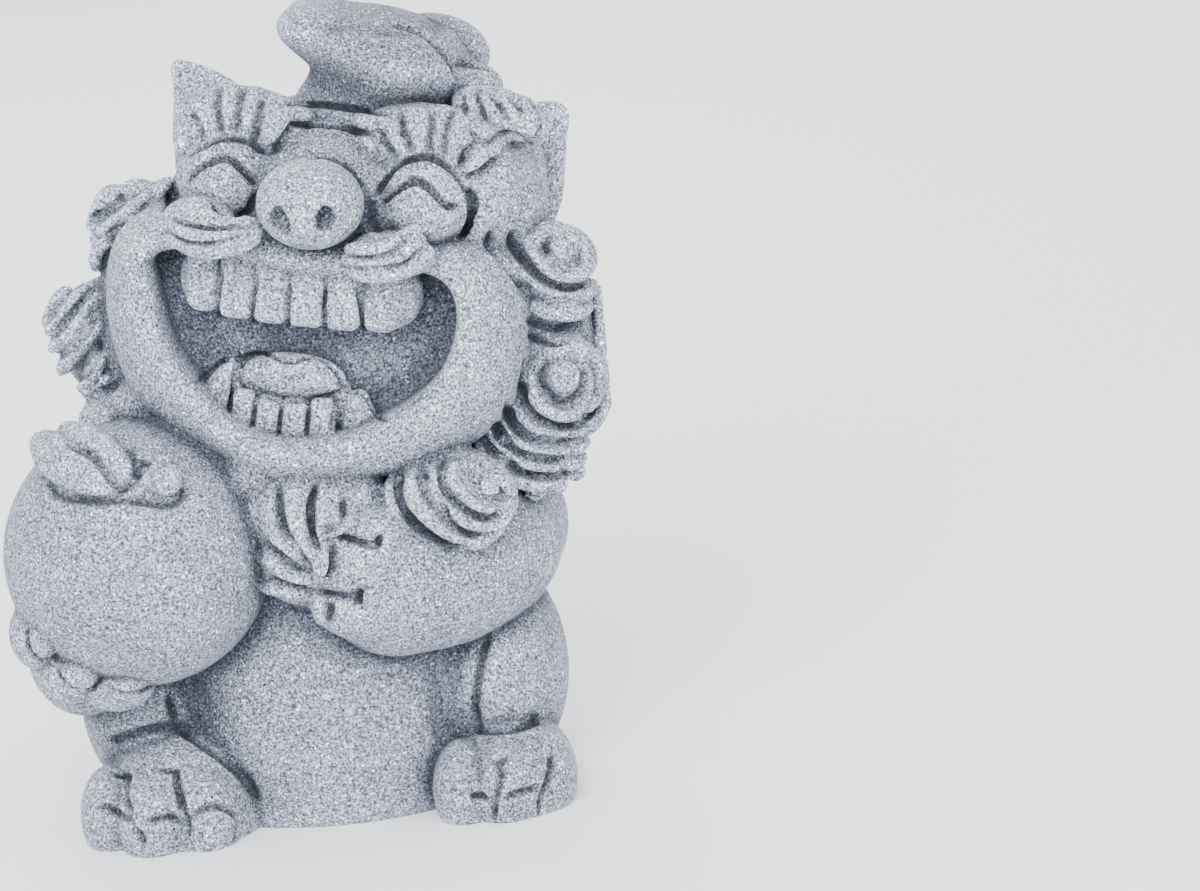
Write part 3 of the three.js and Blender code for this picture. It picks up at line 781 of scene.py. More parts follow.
# %% Lower points beside the tongue
LEFT_POINT = [(-10.0, -14.6, -10.8), (-9.2, -14.9, -8.8), (-8.4, -15.0, -6.4)]
RIGHT_POINT = [(5.4, -14.8, -11.2), (5.2, -15.0, -8.9)]
stone.add(strand(HEAD, LEFT_POINT, (2.2, 1.7, 0.8)), 0.2)
stone.add(strand(HEAD, RIGHT_POINT, (2.0, 1.2)), 0.2)
stone.tell("lower points")

# %% [markdown]
# ## Nose and eyes
# The nose is a ball between two bulging eyes that laughter has shut. Each eye is a small egg
# before a bigger one for its lid. The edges of the lids are carved in later as lines.

# %% Nose and eyes
EYES_AND_NOSE = (
    ("left lid", (-10.5, -11.6, 13), (5.6, 5.5, 5.0), 0.6),
    ("left eye", (-10.4, -13.6, 11.9), (4.3, 4.8, 3.7), 0.4),
    ("right lid", (10.5, -11.6, 13), (5.6, 5.5, 5.0), 0.6),
    ("right eye", (10.4, -13.6, 11.9), (4.3, 4.8, 3.7), 0.4),
    ("nose", (-0.5, -19.6, 12.5), (5.6, 6.2, 4.7), 0.4),
)
add_eggs(HEAD, EYES_AND_NOSE)
stone.tell("nose and eyes")

# %% [markdown]
# ## Brows
# Thick tufts stand up like the fingers of a hand, five on the left and six on the right. Each is
# a short strand with a fuller one behind it, so that the gaps end in stone and not in a hole.

# %% Brows
LEFT_BROW = (
    ((-15.2, 15.6), (-15.4, 16.8), (-15.6, 18.0), 1.0),
    ((-13.2, 17.0), (-13.4, 18.8), (-13.6, 20.4), 1.25),
    ((-10.7, 17.8), (-10.9, 19.9), (-10.9, 21.4), 1.2),
    ((-8.8, 17.8), (-8.7, 19.9), (-8.5, 21.4), 1.15),
    ((-6.2, 17.4), (-5.8, 18.9), (-5.4, 19.8), 1.65),
)
RIGHT_BROW = (
    ((4.6, 17.2), (4.2, 18.6), (4.0, 19.4), 0.9),
    ((7.2, 17.6), (6.8, 19.2), (6.4, 20.6), 1.15),
    ((9.7, 18.0), (9.3, 19.8), (9.1, 21.2), 1.25),
    ((11.5, 18.0), (11.4, 19.9), (11.5, 21.4), 1.1),
    ((13.0, 17.4), (13.4, 19.4), (13.8, 21.4), 1.2),
    ((14.4, 16.2), (15.4, 17.2), (16.3, 18.0), 1.1),
)
BROW_DEPTHS = (-13.2, -12.8, -10.8)
BROW_BONES = (
    ("left ridge", (-10.4, -11.0, 16.8), (6.2, 3.4, 2.8), 0.8),
    ("right ridge", (10.4, -11.0, 16.8), (6.2, 3.4, 2.8), 0.8),
    ("left brow", (-9.6, -10.4, 18.8), (7.2, 3.8, 3.6), 0.6),
    ("right brow", (10.0, -10.6, 18.6), (7.8, 4.0, 3.8), 0.6),
)
add_eggs(HEAD, BROW_BONES)
for low_end, middle, high_end, half in LEFT_BROW + RIGHT_BROW:
    tuft = [(x, y, z) for (x, z), y in zip((low_end, middle, high_end), BROW_DEPTHS)]
    locks(HEAD, [(tuft, half)], 1.0, 1.0, 1.0, 1.25, 0.25)
print("tufts of the brows:", len(LEFT_BROW), "on the left,", len(RIGHT_BROW), "on the right")

# %% [markdown]
# ## The tuft before the ear
# Five short locks of hair lie side by side over the root of one ear. They could be cut as lines
# into one lump, but strands keep a round back each, which catches the light.

# %% Tuft before the ear
EAR_TUFT = (
    ([(12.7, -7.6, 22.4), (13.0, -9.0, 20.8)], 0.8),
    ([(14.0, -8.0, 23.2), (14.4, -9.2, 22.0), (14.9, -9.4, 20.6)], 0.85),
    ([(15.4, -8.0, 23.4), (16.2, -9.2, 22.2), (17.0, -9.4, 20.8)], 0.9),
    ([(17.1, -7.8, 23.2), (18.0, -9.0, 22.3), (18.9, -9.2, 21.2)], 0.9),
    ([(19.2, -7.4, 22.7), (20.0, -8.4, 21.9), (20.8, -8.6, 21.0)], 0.8),
)
TUFT_TURN = Matrix.Rotation(0.26, 3, "Y")
BELOW_TUFT = (("below the tuft", (14.8, -8.4, 19.2), (3.4, 2.8, 2.6), 0.8),)
stone.add(egg(HEAD, (17.0, -6.6, 21.4), (5.2, 3.2, 2.5), TUFT_TURN), 0.4)
add_eggs(HEAD, BELOW_TUFT)
locks(HEAD, EAR_TUFT, 0.9)
stone.tell("tuft before the ear")

# %% [markdown]
# ## Moustache
# Three strands a side sweep out from under the nose and curl up over the lip. They lie on low
# eggs that lift them off the lip, and are joined with little blend so that each stays apart from
# the next.

# %% Moustache
LEFT_MOUSTACHE = (
    ([(-5.4, -21, 9), (-8.6, -21.4, 7.6), (-11.8, -20.9, 7.2), (-14.8, -19.6, 8)], 1.25),
    ([(-5.2, -21.4, 9.6), (-8.8, -21.8, 8.7), (-12.4, -21.2, 8.6), (-15, -19.8, 9.6)], 1.2),
    ([(-5.6, -21.2, 10), (-8.6, -21.4, 9.8), (-11.2, -21, 10), (-14, -19.8, 10.6)], 1.2),
)
RIGHT_MOUSTACHE = (
    ([(3.8, -20.8, 6.4), (6.6, -21.2, 6.1), (10.2, -20.4, 7), (12.4, -19.4, 9)], 1.0),
    ([(3.5, -21.2, 7.4), (6.4, -21.7, 7.2), (9.4, -21, 8.2), (11.6, -19.8, 10.2)], 0.95),
    ([(3.8, -21.2, 8.5), (6.2, -21.7, 8.5), (8.4, -21.2, 9), (11, -19.8, 11.2)], 1.0),
)
BELOW_MOUSTACHE = (
    ("below the left side", (-12.2, -18.6, 9.0), (4.0, 2.8, 2.9), 0.5),
    ("hump of the left side", (-12.0, -19.6, 10.4), (2.2, 2.0, 1.7), 0.3),
    ("below the right side", (8.2, -18.4, 7.8), (4.6, 2.8, 2.4), 0.5),
)
add_eggs(HEAD, BELOW_MOUSTACHE)
for points, half in LEFT_MOUSTACHE + RIGHT_MOUSTACHE:
    stone.add(strand(HEAD, points, half, 1.1), 0.2)
stone.tell("moustache")

# %% [markdown]
# ## Mane
# At each side the hair falls in thick layered locks that roll up into curls. The body of each
# curl is a flat dome that faces outward, and the locks are laid on it afterwards. One function
# makes the dome, because the curls of the back need it again.

# %% Side curls
CURLS = (
    ((-20.868, -4.4, 4.6), 3.8),
    ((-24.44, -4.4, -6.4), 4.6),
    ((23.4, -6.2, 6.0), 4.4),
    ((25.4, -7.0, -6.2), 4.3),
)
SIDE_CURL_FACES = (0.45, -0.86, 0)


def curl_dome(placing, place, outward, radius, blend=0.5, height=0.62):
    """A flat dome for a rolled curl, lying square to the outward direction."""
    outward = placing.way(outward)
    outward = outward / np.linalg.norm(outward)
    side = np.cross((0, 0, 1), outward)
    side = side / np.linalg.norm(side)
    axes = np.stack([side, np.cross(outward, side), outward], axis=1)
    home = Placing(placing.point(place), axes)
    stone.add(egg(home, (0, 0, 0), (radius, radius, radius * height)), blend)
    return home


for place, radius in CURLS:
    curl_dome(HEAD, place, np.array(SIDE_CURL_FACES) * (math.copysign(1, place[0]), 1, 1), radius)
stone.tell("side curls")

# %% [markdown]
# ## Locks of the left side
# Behind the left cheek the locks spread like the feathers of a wing, each with a blunt end. Hair
# curves would be far too fine: in stone a lock is as thick as a matchstick. So each is a strand
# with its own path and half width, over eggs that fill the space behind.

# %% Left side locks
LEFT_LOCKS = (
    ([(-17.7, -6.5, 10.5), (-19.5, -6.8, 9), (-22.9, -6.6, 6), (-26.1, -5.6, 3.1)], 1.0),
    ([(-19.9, -5, 9.2), (-22.3, -5, 9), (-24, -5.2, 7)], 0.85),
    ([(-23.6, -4.4, 8.1), (-24.8, -4.4, 7.9), (-26.4, -5, 4.3)], 0.95),
    ([(-17.5, -8.0, 8.8), (-19.0, -8.2, 8.0), (-20.4, -8.2, 7.3)], 0.5),
    ([(-23.7, -7, 3.9), (-24.9, -6.4, 2.9), (-25.5, -5.6, 1.5), (-25.5, -5, 0)], 0.75),
    ([(-28.7, -4.6, -2.9), (-29.5, -4.8, -4), (-30.8, -4.6, -6.8)], 0.85),
    ([(-25.9, -6.6, -1.6), (-27.2, -6.6, -3), (-29.2, -6, -5.9), (-30.4, -5.2, -7.4)], 0.8),
    ([(-25.1, -7.4, -2.5), (-25.8, -7.4, -4.3), (-28.5, -6.4, -7.8), (-29.8, -5.4, -9.1)], 0.95),
    ([(-24.5, -7.8, -4.8), (-25.2, -7.8, -6.5), (-27.7, -6.6, -9.8), (-28.7, -5.6, -11.5)], 0.9),
    ([(-23.9, -8, -8.2), (-24.4, -7.8, -10), (-26.3, -6, -13.1)], 0.9),
    ([(-23, -8, -10.6), (-23.4, -8, -11.8), (-24.6, -7, -13), (-25.9, -6, -13.5)], 0.7),
    ([(-21.7, -8.4, -12.7), (-24.6, -6.6, -14.7), (-25.6, -5.6, -16.4)], 0.9),
)
BEHIND_LEFT_LOCKS = (
    ("lower fan", (-24.4, -0.4, -8.0), (5.4, 5.4, 6.6), 0.6),
    ("upper fan", (-21.6, -1.0, 5.2), (4.0, 4.0, 3.2), 0.6),
    ("end of the fan", (-22.3, -3.2, -12.6), (2.8, 3.6, 2.6), 0.6),
)
SHOULDER_FILL = (("between mane and peach", (-16.0, -11.4, 47.6), (4.0, 4.2, 2.8), 0.8),)
LEFT_KNOB = (("lowest knob", (-23.9, -6.8, -15.7), (2.2, 2.4, 1.7), 0.2),)
add_eggs(HEAD, BEHIND_LEFT_LOCKS)
add_eggs(BODY, SHOULDER_FILL)
locks(HEAD, LEFT_LOCKS)
add_eggs(HEAD, LEFT_KNOB)
# Painted shade: a small dark spot in the gap beside the lowest knob.
stone.stain_dust_and_shade(egg(HEAD, (-22.5, -8.6, -15.6), (0.4, 0.6, 0.7)), 0.9, 0.9)
stone.tell("locks of the left side")

# %% [markdown]
# ## Locks and curls of the right side
# Two locks roll up into round curls with a knob in the middle, one above the other, and short
# ones hang below. A spiral formula would be too regular for hand work, so each path follows the
# turns of its own lock.

# %% Right side locks and curls
RIGHT_LOCKS = (
    (
        [
            (17.9, -7, 9), (18.5, -8.6, 7.5), (21.7, -9.6, 4.4), (25.5, -8.4, 2.8),
            (27.2, -6.8, 3.1), (28, -5, 3.7),
        ],
        1.0,
    ),
    (
        [
            (20.1, -7, 9.3), (21.2, -9, 8), (24.1, -10.2, 5.8), (26.8, -8.4, 5.4),
            (27.4, -7, 6.3), (26.9, -6.4, 7.7), (25.8, -6.6, 8.7), (24.5, -7.4, 9.1),
        ],
        0.8,
    ),
    ([(21.5, -8.4, 1.8), (23, -8.6, 1.2), (26.2, -7.6, 1), (27.7, -6, 1.4)], 1.0),
    ([(21.9, -8, -1.5), (23.5, -8, -1.7), (26.6, -6.8, -1.3)], 0.4),
    (
        [
            (27.8, -3, 2.9), (28.4, -2.4, 1.2), (28.7, -2, -1.2), (28.8, -2.6, -3.3),
            (29.3, -3.6, -4.7),
        ],
        0.7,
    ),
    (
        [
            (22.7, -8, -3.5), (24.4, -8.6, -2.6), (26.1, -8.4, -2.4), (27.7, -7.4, -3.1),
            (29.9, -4.8, -6.5), (29.7, -4.8, -10.2), (28.8, -5.8, -11.2),
        ],
        0.75,
    ),
    (
        [
            (22.3, -8, -3.5), (22.2, -9.2, -5), (23.4, -10, -8.2), (26.4, -9.6, -9.6),
            (28.8, -7.6, -8.4), (29.1, -6.8, -7), (28.7, -6.8, -5.3), (26.4, -8.2, -3.3),
            (25, -8.8, -3.3), (24.2, -9.2, -3.9),
        ],
        0.85,
    ),
    (
        [
            (20.8, -8.6, -7.9), (21.1, -9, -9.3), (23.6, -8.8, -11.8), (27.3, -7, -12.1),
            (28.8, -5.4, -11.6), (29.6, -4, -10.8),
        ],
        0.85,
    ),
    (
        [
            (19.5, -8.8, -10.5), (21.8, -9, -13.2), (25.6, -7.8, -13.9), (27.3, -6.4, -14),
            (28.6, -4.8, -13.6),
        ],
        0.8,
    ),
    ([(18.2, -9, -12.2), (21.1, -8.8, -15), (27, -5.8, -15.8), (28.2, -4.2, -15.4)], 0.85),
    (
        [
            (17.1, -9, -13.6), (18.7, -8.8, -15.5), (22.4, -7.4, -17.9), (24.4, -6.2, -18.2),
            (26.1, -4.8, -17.9),
        ],
        0.9,
    ),
)
RIGHT_KNOBS = (
    ((24.7, -9.6, 7.7), 1.5),
    ((26.0, -9.8, -5.4), 1.75),
    ((23.4, -5.4, -19.1), 1.2),
    ((25.7, -4.4, -18.4), 1.1),
    ((27.4, -3.6, -17.1), 1.1),
)
BEHIND_RIGHT_LOCKS = (("behind the curls", (22.2, -2.6, -8.2), (6.5, 6.2, 11.2), 0.8),)
add_eggs(HEAD, BEHIND_RIGHT_LOCKS)
locks(HEAD, RIGHT_LOCKS, 0.9)
for knob, size in RIGHT_KNOBS:
    stone.add(egg(HEAD, knob, (size, size * 0.8, size)), 0.15)
stone.tell("locks of the right side")

# %% [markdown]
# ## Locks on the chest
# Under the chin hang one rolled curl and a fan of short locks. An egg behind each group carries
# it, since nothing can hang free in stone.

# %% Locks on the chest
CHEST_LOCKS = (
    (
        [
            (11.8, -18.6, -15.4), (11.9, -18.8, -17), (12.7, -18.8, -18.6), (17.2, -17, -22.3),
            (19, -16.2, -22.5), (20.5, -15.4, -21.5), (21.5, -15, -20.2),
        ],
        0.95,
    ),
    (
        [
            (14.2, -19, -14.4), (14.2, -19.4, -15.8), (17.8, -18.4, -19.8), (20.9, -16.8, -20.1),
            (21.9, -16.2, -18.9), (22.3, -16, -17.4),
        ],
        0.85,
    ),
    (
        [
            (16.2, -19.2, -13.7), (16.3, -19.8, -15), (18.7, -19.4, -17.5), (21.4, -18, -18),
            (22, -17.4, -17), (21.6, -17.6, -15.8), (20.6, -18, -15.1), (19.8, -18.6, -15),
        ],
        0.75,
    ),
)
BEARD_LOCKS = (
    ([(-3.1, -22.4, 39.6), (-3.3, -23.4, 37.9), (-2.8, -24.4, 34.8), (-1.1, -25, 32.1)], 0.5),
    ([(-0.4, -22.4, 39.4), (-1.1, -23.6, 37.7), (-0.4, -25.2, 33.5), (0.3, -25.2, 32.5)], 1.15),
    ([(3.1, -22.2, 38.9), (2.4, -23.6, 37.4), (1.6, -25, 34.6), (1.6, -25.2, 33.4)], 0.75),
    ([(5.2, -22.2, 38.7), (4.4, -23.0, 37.9), (3.5, -24.0, 37.0)], 0.7),
    ([(6.5, -22.4, 38.8), (6.1, -23.2, 37.8), (6.1, -23.6, 37.0)], 0.8),
    ([(9.4, -22.4, 39), (9.1, -23, 37.7), (9.6, -23.2, 36.4), (10.8, -22.6, 35.2)], 0.6),
    ([(-3.9, -23.4, 35.4), (-3, -24.2, 33.9), (-0.6, -25, 31.4)], 0.6),
    ([(-4.6, -23.2, 32.4), (-1.9, -24.6, 30.3), (-0.4, -24.8, 29.6)], 0.85),
    ([(-5.3, -22.4, 28.6), (-3.3, -23.6, 28.5), (-0.4, -24.6, 28.1)], 0.5),
)
BEHIND_CHEST_CURL = (("behind the curl", (15.6, -14.4, -17.6), (6.6, 4.2, 4.7), 0.8),)
CHEST_KNOB = (("knob of the curl", (20.1, -19.0, -16.0), (1.1, 1.0, 1.1), 0.1),)
BEHIND_BEARD = (
    ("beard", (1.0, -19.9, 36.2), (8.4, 4.6, 5.2), 0.6),
    ("end of the beard", (-1.0, -20.4, 31.0), (4.4, 4.6, 4.8), 0.8),
    ("left of the beard", (-5.4, -18.6, 40.2), (3.2, 3.6, 3.4), 0.8),
)
add_eggs(HEAD, BEHIND_CHEST_CURL)
locks(HEAD, CHEST_LOCKS, 0.85)
add_eggs(HEAD, CHEST_KNOB)
add_eggs(BODY, BEHIND_BEARD)
locks(BODY, BEARD_LOCKS, 0.85, 0.8, 1.1, 1.3, 0.35)
stone.tell("locks on the chest")

# %% [markdown]
# ## Fingers and claws
# The hand on the chest ends in three blunt fingers with a claw each. The fingers are eggs that
# melt into the arm. The claws are strands with a crisper join, because a hard claw doesn't melt
# into the finger round it.

# %% Fingers and claws on the chest
FINGERS = (
    ("upper finger", (6.6, -20.8, 33.4), (4.6, 4.6, 3.6), 1.2),
    ("middle finger", (5.8, -21.2, 31.0), (3.8, 4.9, 3.8), 1.2),
    ("lower finger", (5.2, -21.2, 26.4), (5.6, 4.8, 4.2), 1.2),
    ("back of the hand", (3.2, -21.2, 30.5), (3.2, 4.1, 6.2), 0.8),
)
CLAWS = (
    ([(4.4, -24.9, 36.3), (3.4, -25.3, 35.2), (2.6, -25.1, 34.1)], 0.85),
    ([(1.9, -25.0, 32.8), (1.4, -25.2, 31.3), (1.4, -25.0, 29.9)], 1.05),
    ([(0.9, -24.5, 27.8), (0.8, -24.7, 26.4), (0.9, -24.5, 25.0)], 0.8),
)
add_eggs(BODY, FINGERS)
locks(BODY, CLAWS, 0.9, 1.0, 0.9, 1.3, 0.3)
stone.tell("fingers and claws")

# %% [markdown]
# ## Lines between the locks
# Strands alone meet in soft valleys. The carver goes over the valleys with a pointed tool, and
# that dark line is what draws a lock for the eye. The lines come in groups: the placing and the
# depth that they are thrown from, their width, how deep they are, and how far their edges are
# rounded off.

# %% Lines between the locks, fingers and claws
RIGHT_SIDE_LINES = (
    [(19.6, 9.6), (19.6, 8.4), (23.4, 4.9), (26, 4.3), (27.1, 4.7)],
    [(17.3, 9.4), (17.2, 8.1), (19.3, 5.8), (21.4, 3.6), (24.4, 2.5), (27.4, 2.8)],
    [(21.9, 0.2), (25.1, -0.3), (27.4, 0.7)],
    [(22.1, -1.2), (24.1, -1.7), (26, -1.5)],
    [
        (21.8, -4.2), (21.8, -7.5), (23.5, -9.7), (26.3, -10.5), (27.7, -10.1), (29.8, -7.7),
        (29.7, -4.7), (28.7, -3.5),
    ],
    [(20.3, -8.6), (20.4, -9.9), (22.3, -12.1), (25.3, -12.7), (28.5, -11.9), (29.6, -11.1)],
    [(19.1, -11.3), (19.8, -12.6), (22.5, -14.1), (26.1, -14.3), (29, -13.1)],
    [(17.9, -12.9), (19.3, -14.4), (22.8, -16.1), (27.1, -15.7)],
    [
        (24.2, -3.8), (23.7, -5.1), (23.9, -6.5), (25.7, -8.1), (26.7, -8.1), (28.3, -6.4),
        (28.1, -4.4),
    ],
    [(23.4, 9.3), (23.2, 8), (25, 6.4), (25.9, 6.7), (25.7, 8.6)],
)
CHEST_LINES = (
    [(10.8, -15.8), (10.8, -17.1), (12, -19.6), (16.7, -22.5), (18.1, -22.7)],
    [(13.1, -15), (14.1, -17.1), (16.7, -20.1), (19, -21.2)],
    [(15.1, -13.6), (14.8, -14.8), (16.1, -17.1), (20, -19.1), (22.1, -17.9), (22.5, -16.7)],
    [(17.3, -15.1), (17.7, -15.8), (19.7, -17.3), (21.4, -16.9), (21.4, -16.1)],
)
LEFT_SIDE_LINES = (
    [(-19.5, 9), (-22.7, 5.4), (-24, 4.2)],
    [(-22.7, 8.3), (-24.6, 6.3), (-25.8, 5.7)],
    [(-17.2, 10.4), (-17.5, 8.8), (-18.0, 7.7)],
    [(-27.8, -2.3), (-28.6, -3.5), (-29.9, -5.3)],
    [(-25.4, -1.8), (-28.2, -5.7), (-29.9, -7.7)],
    [(-25.1, -3.7), (-25.3, -5.2), (-27, -8), (-28.5, -9.3)],
    [(-24.2, -7.3), (-25.4, -10.5), (-26.3, -11.5)],
    [(-22.2, -12.2), (-23.5, -12.6), (-25.3, -13.7)],
    [(-22.5, -15.3), (-22.5, -15.9)],
    [(-24.8, 6.8), (-25.3, 6.4)],
    [(-22.8, 8.7), (-22.9, 8.0)],
)
BEARD_LINES = (
    [(-2.3, 40.1), (-2.5, 37.4), (-2.1, 35.2), (-1.3, 33.4), (0.1, 31.0)],
    [(-3.8, 34.1), (-2.9, 32.6), (-1.6, 31.5), (-0.4, 31.0)],
    [(-4.2, 30.4), (-2.7, 29.5), (-0.2, 28.7)],
    [(4.3, 38.2), (4.0, 36.4), (3.0, 35.7), (2.1, 35.0)],
)
CLAW_LINES = (
    [(2.4, 34.1), (4.2, 34.2), (7.2, 33.1)],
    [(7.9, 34.1), (7.2, 33.1)],
    [(0.9, 28.8), (2.5, 28.2), (4.8, 28.0)],
    [(5.3, 28.6), (4.7, 27.9), (5.1, 27.2)],
    [(2.9, 33.5), (2.5, 31), (1.9, 29.9)],
    [(1.9, 27.8), (1.9, 26.6), (1.7, 25.4)],
)
LEAF_LINES = (
    [
        (-25.8, 42.8), (-25.3, 41.8), (-21.1, 40.7), (-18.2, 40.6), (-13.4, 39.7), (-12.5, 40.2),
        (-12.1, 41.2),
    ],
    [(-23.3, 46.8), (-21.3, 45.7), (-18.8, 41.8)],
    [(-17.1, 45.8), (-16.5, 43.8), (-16.8, 42.8), (-18.7, 41.3)],
    [(-16.2, 44.5), (-15.4, 44.2)],
)
LINE_GROUPS = (
    (HEAD, -10, 0.8, 0.9, 0.3, RIGHT_SIDE_LINES),
    (HEAD, -19, 0.8, 0.9, 0.25, CHEST_LINES),
    (HEAD, -7, 0.7, 0.8, 0.25, LEFT_SIDE_LINES),
    (BODY, -25, 0.85, 1.0, 0.25, BEARD_LINES),
    (BODY, -26, 0.75, 1.0, 0.1, CLAW_LINES),
    (BODY, -27, 0.7, 0.6, 0.15, LEAF_LINES),
)
for placing, depth, width, deep, shoulder, lines in LINE_GROUPS:
    for points in lines:
        carve(placing, depth, points, width, deep, 0.85, shoulder=shoulder)
BEARD_FOLD = [(1.5, 39.8), (0.9, 38.1), (0.7, 36.4), (0.9, 34.5), (1.2, 33.5)]
carve(BODY, -25, BEARD_FOLD, 1.1, 1.1, 0.95)
stone.tell("lines between the locks")

# %% [markdown]
# ## The back of the mane
# No picture shows the back, so it gets what such lions have: rows of plain rolled curls. A curl
# is written once, a flat dome with a spiral cut into it, and loops set it wherever a ray from
# outside meets the hair.

# %% Rows of rolled curls on the back
SPIRAL_TURN = 3.4 * math.pi
SPIRAL_STEPS = 40
SPIRAL_DEEP = 0.55


def rolled_curl(placing, place, inward, radius, hand):
    """A flat dome with a spiral cut into it, set where a ray from outside meets the skin."""
    hits, normals = throw(placing.point([place]), placing.way([inward]), 14.0)
    home = curl_dome(BODY, hits[0] - normals[0] * radius * 0.15, normals[0], radius, 0.4, 0.45)
    turns = np.linspace(0, SPIRAL_TURN, SPIRAL_STEPS)
    reach = radius * (0.12 + 0.78 * turns / SPIRAL_TURN)
    across, up = reach * np.cos(hand * turns), reach * np.sin(hand * turns)
    spiral = np.stack([across, up, 0 * turns], axis=1)
    ways = np.repeat(-home.axes[:, 2][None], SPIRAL_STEPS, axis=0)
    line, facing = throw(home.point(spiral), ways, radius)
    radii = 0.45 * swell(len(line), 6)
    stone.cut(chain(line + facing * (radii - SPIRAL_DEEP)[:, None], radii))
    stone.stain_dust_and_shade(chain(line, radii * 0), 0.7, 0.55)


BACK_ROWS = (
    (12.5, 42, 138, 4, 4.0), (4.5, 12, 168, 6, 4.4), (-4.5, 4, 176, 7, 4.4),
    (-13.0, 10, 170, 6, 4.2),
)
for height, start, end, count, radius in BACK_ROWS:
    for i in range(count):
        angle = math.radians(start + (end - start) * i / (count - 1))
        out = (math.cos(angle), math.sin(angle))
        place = (24 * out[0], 6 + 15 * out[1], height)
        inward = (-out[0], -out[1], -0.25 if height > 9 else 0)
        rolled_curl(HEAD, place, inward, radius, math.copysign(1, out[0]))
print("rolled curls on the back:", sum(row[3] for row in BACK_ROWS))

# %% [markdown]
# ## Lines of the eyes
# A shut eye is one arched line over the ball, and a second one round the lid. The corners of the
# eyes and a weak fold over the nose have lines of their own. A pointed tool cuts them all, so
# each is a line with its own width and depth.

# %% Carved lines of the eyes
EYE_LINES = (
    ([(-13.9, 13.1), (-12.9, 14.4), (-10.6, 15.7), (-9.4, 15.5), (-7, 13.3)], 1.0, 0.9),
    ([(-14.1, 15.6), (-10.9, 17.6), (-7.8, 17.6), (-6.7, 16.9), (-5.7, 16.6)], 0.6, 0.5),
    ([(6.5, 12.6), (9.4, 15.1), (10.5, 15.1), (13.4, 12.9), (14.3, 13)], 1.1, 1.1),
    (
        [
            (6, 13.3), (6.4, 14.5), (8.2, 16.9), (11.2, 17.8), (14.4, 15.8), (15.7, 13.2),
            (15.4, 10.7), (14.8, 9.7),
        ],
        0.9,
        0.9,
    ),
    ([(5.4, 13.1), (5.7, 10.5), (6.4, 9.5)], 1.2, 0.6),
    ([(-11.4, 10.8), (-10.5, 10), (-7.8, 10.1), (-6.8, 12.4)], 0.9, 0.7),
)
RIGHT_LID_END = [(15.2, 14.6), (15.7, 13.2), (15.4, 10.7), (14.8, 9.7)]
NOSE_FOLD = [(-1.9, 16.9), (0.9, 17.3), (3.5, 16.3), (5, 14.4)]
for points, width, deep in EYE_LINES:
    carve(HEAD, -16, points, width, deep, 0.85)
carve(HEAD, -15, RIGHT_LID_END, 1.2, 1.1, 0.9)
carve(HEAD, -19, NOSE_FOLD, 0.6, 0.3, 0.5, reach=9)
stone.tell("lines of the eyes")

# %% [markdown]
# ## Nostrils
# Two round holes, wider than deep, are drilled into the ball of the nose. An egg cut out along
# the way that the skin faces leaves the clean round edge that a drill leaves.

# %% Drilled nostrils
NOSTRILS = (((-2.8, 11.4), 1.3), ((2.1, 12.2), 1.2))
NOSTRIL_DEEP = 2.2


def drill(placing, depth, spot, radius, deep):
    hits, normals = seen(placing, depth, [spot, (spot[0] + 0.01, spot[1])], 6)
    hole = Placing(hits[0], np.eye(3))
    stone.cut(egg(hole, -normals[0] * (deep - radius), (radius, radius, radius * 1.25)), 0.4)
    # Painted shade: a dark stain darkens the inside of each hole.
    stone.stain_dust_and_shade(egg(hole, (0, 0, 0), (radius * 0.6,) * 3), radius, 1.0)


for spot, radius in NOSTRILS:
    drill(HEAD, -25, spot, radius, NOSTRIL_DEEP)
stone.tell("nostrils")

# %% [markdown]
# ## Lines of the brows and the tuft
# Lines from the edge of the brow down to the lid part the tufts, and finer ones part the locks
# before the ear. They follow the gaps that the strands left, and deepen them.

# %% Carved lines of the brows and the tuft
BROW_LINES = (
    [(-15.1, 19.5), (-14.5, 18.9), (-13.4, 16.9)],
    [(-12, 22.2), (-12.2, 20.8), (-11.5, 17.5)],
    [(-9.3, 22.6), (-9.7, 21.6), (-9.9, 18.1)],
    [(-7.1, 21.9), (-7.5, 20.9), (-7.9, 17.1)],
    [(-3.4, 20), (-5.1, 17.2), (-6, 16.1)],
    [(5.2, 19.8), (5.7, 18.3), (7, 16.8)],
    [(7.4, 21.5), (7.5, 20), (8.7, 17.5)],
    [(10.5, 22.1), (10.7, 20.6), (10.5, 19.2), (10.7, 17.6)],
    [(12.7, 22.4), (12.3, 20.8), (12, 17.4)],
    [(15.4, 19.3), (14.6, 18.3), (13.7, 16.3)],
    [(17.8, 17.8), (16, 16.1), (14.7, 15.4)],
)
TUFT_LINES = (
    [(13.2, 23.5), (13.4, 22.5), (13.7, 21.2)],
    [(14.5, 24), (15, 22.8), (15.9, 20.9)],
    [(15.8, 23.8), (16.9, 22.9), (18.2, 21.1)],
    [(18.0, 23.5), (18.9, 22.9), (19.8, 22.2)],
    [(13.9, 20), (15.1, 19), (16.4, 18.7), (17.4, 19.7), (18.9, 19.8), (20.6, 19.1)],
    [(20.6, 19.1), (22.1, 21.7), (20.3, 23.3)],
)
for points in BROW_LINES:
    carve(HEAD, -12.5, points, 0.75, 0.75, 0.85, shoulder=0.15)
for points in TUFT_LINES:
    carve(HEAD, -9, points, 0.6, 0.45, 0.75)
stone.tell("lines of the brows")

# %% [markdown]
# ## The band round the topknot
# The hair is tied with a band between two grooves. A raised cord laid on the skin gives its round
# back, and a cut above and below it sets it off.

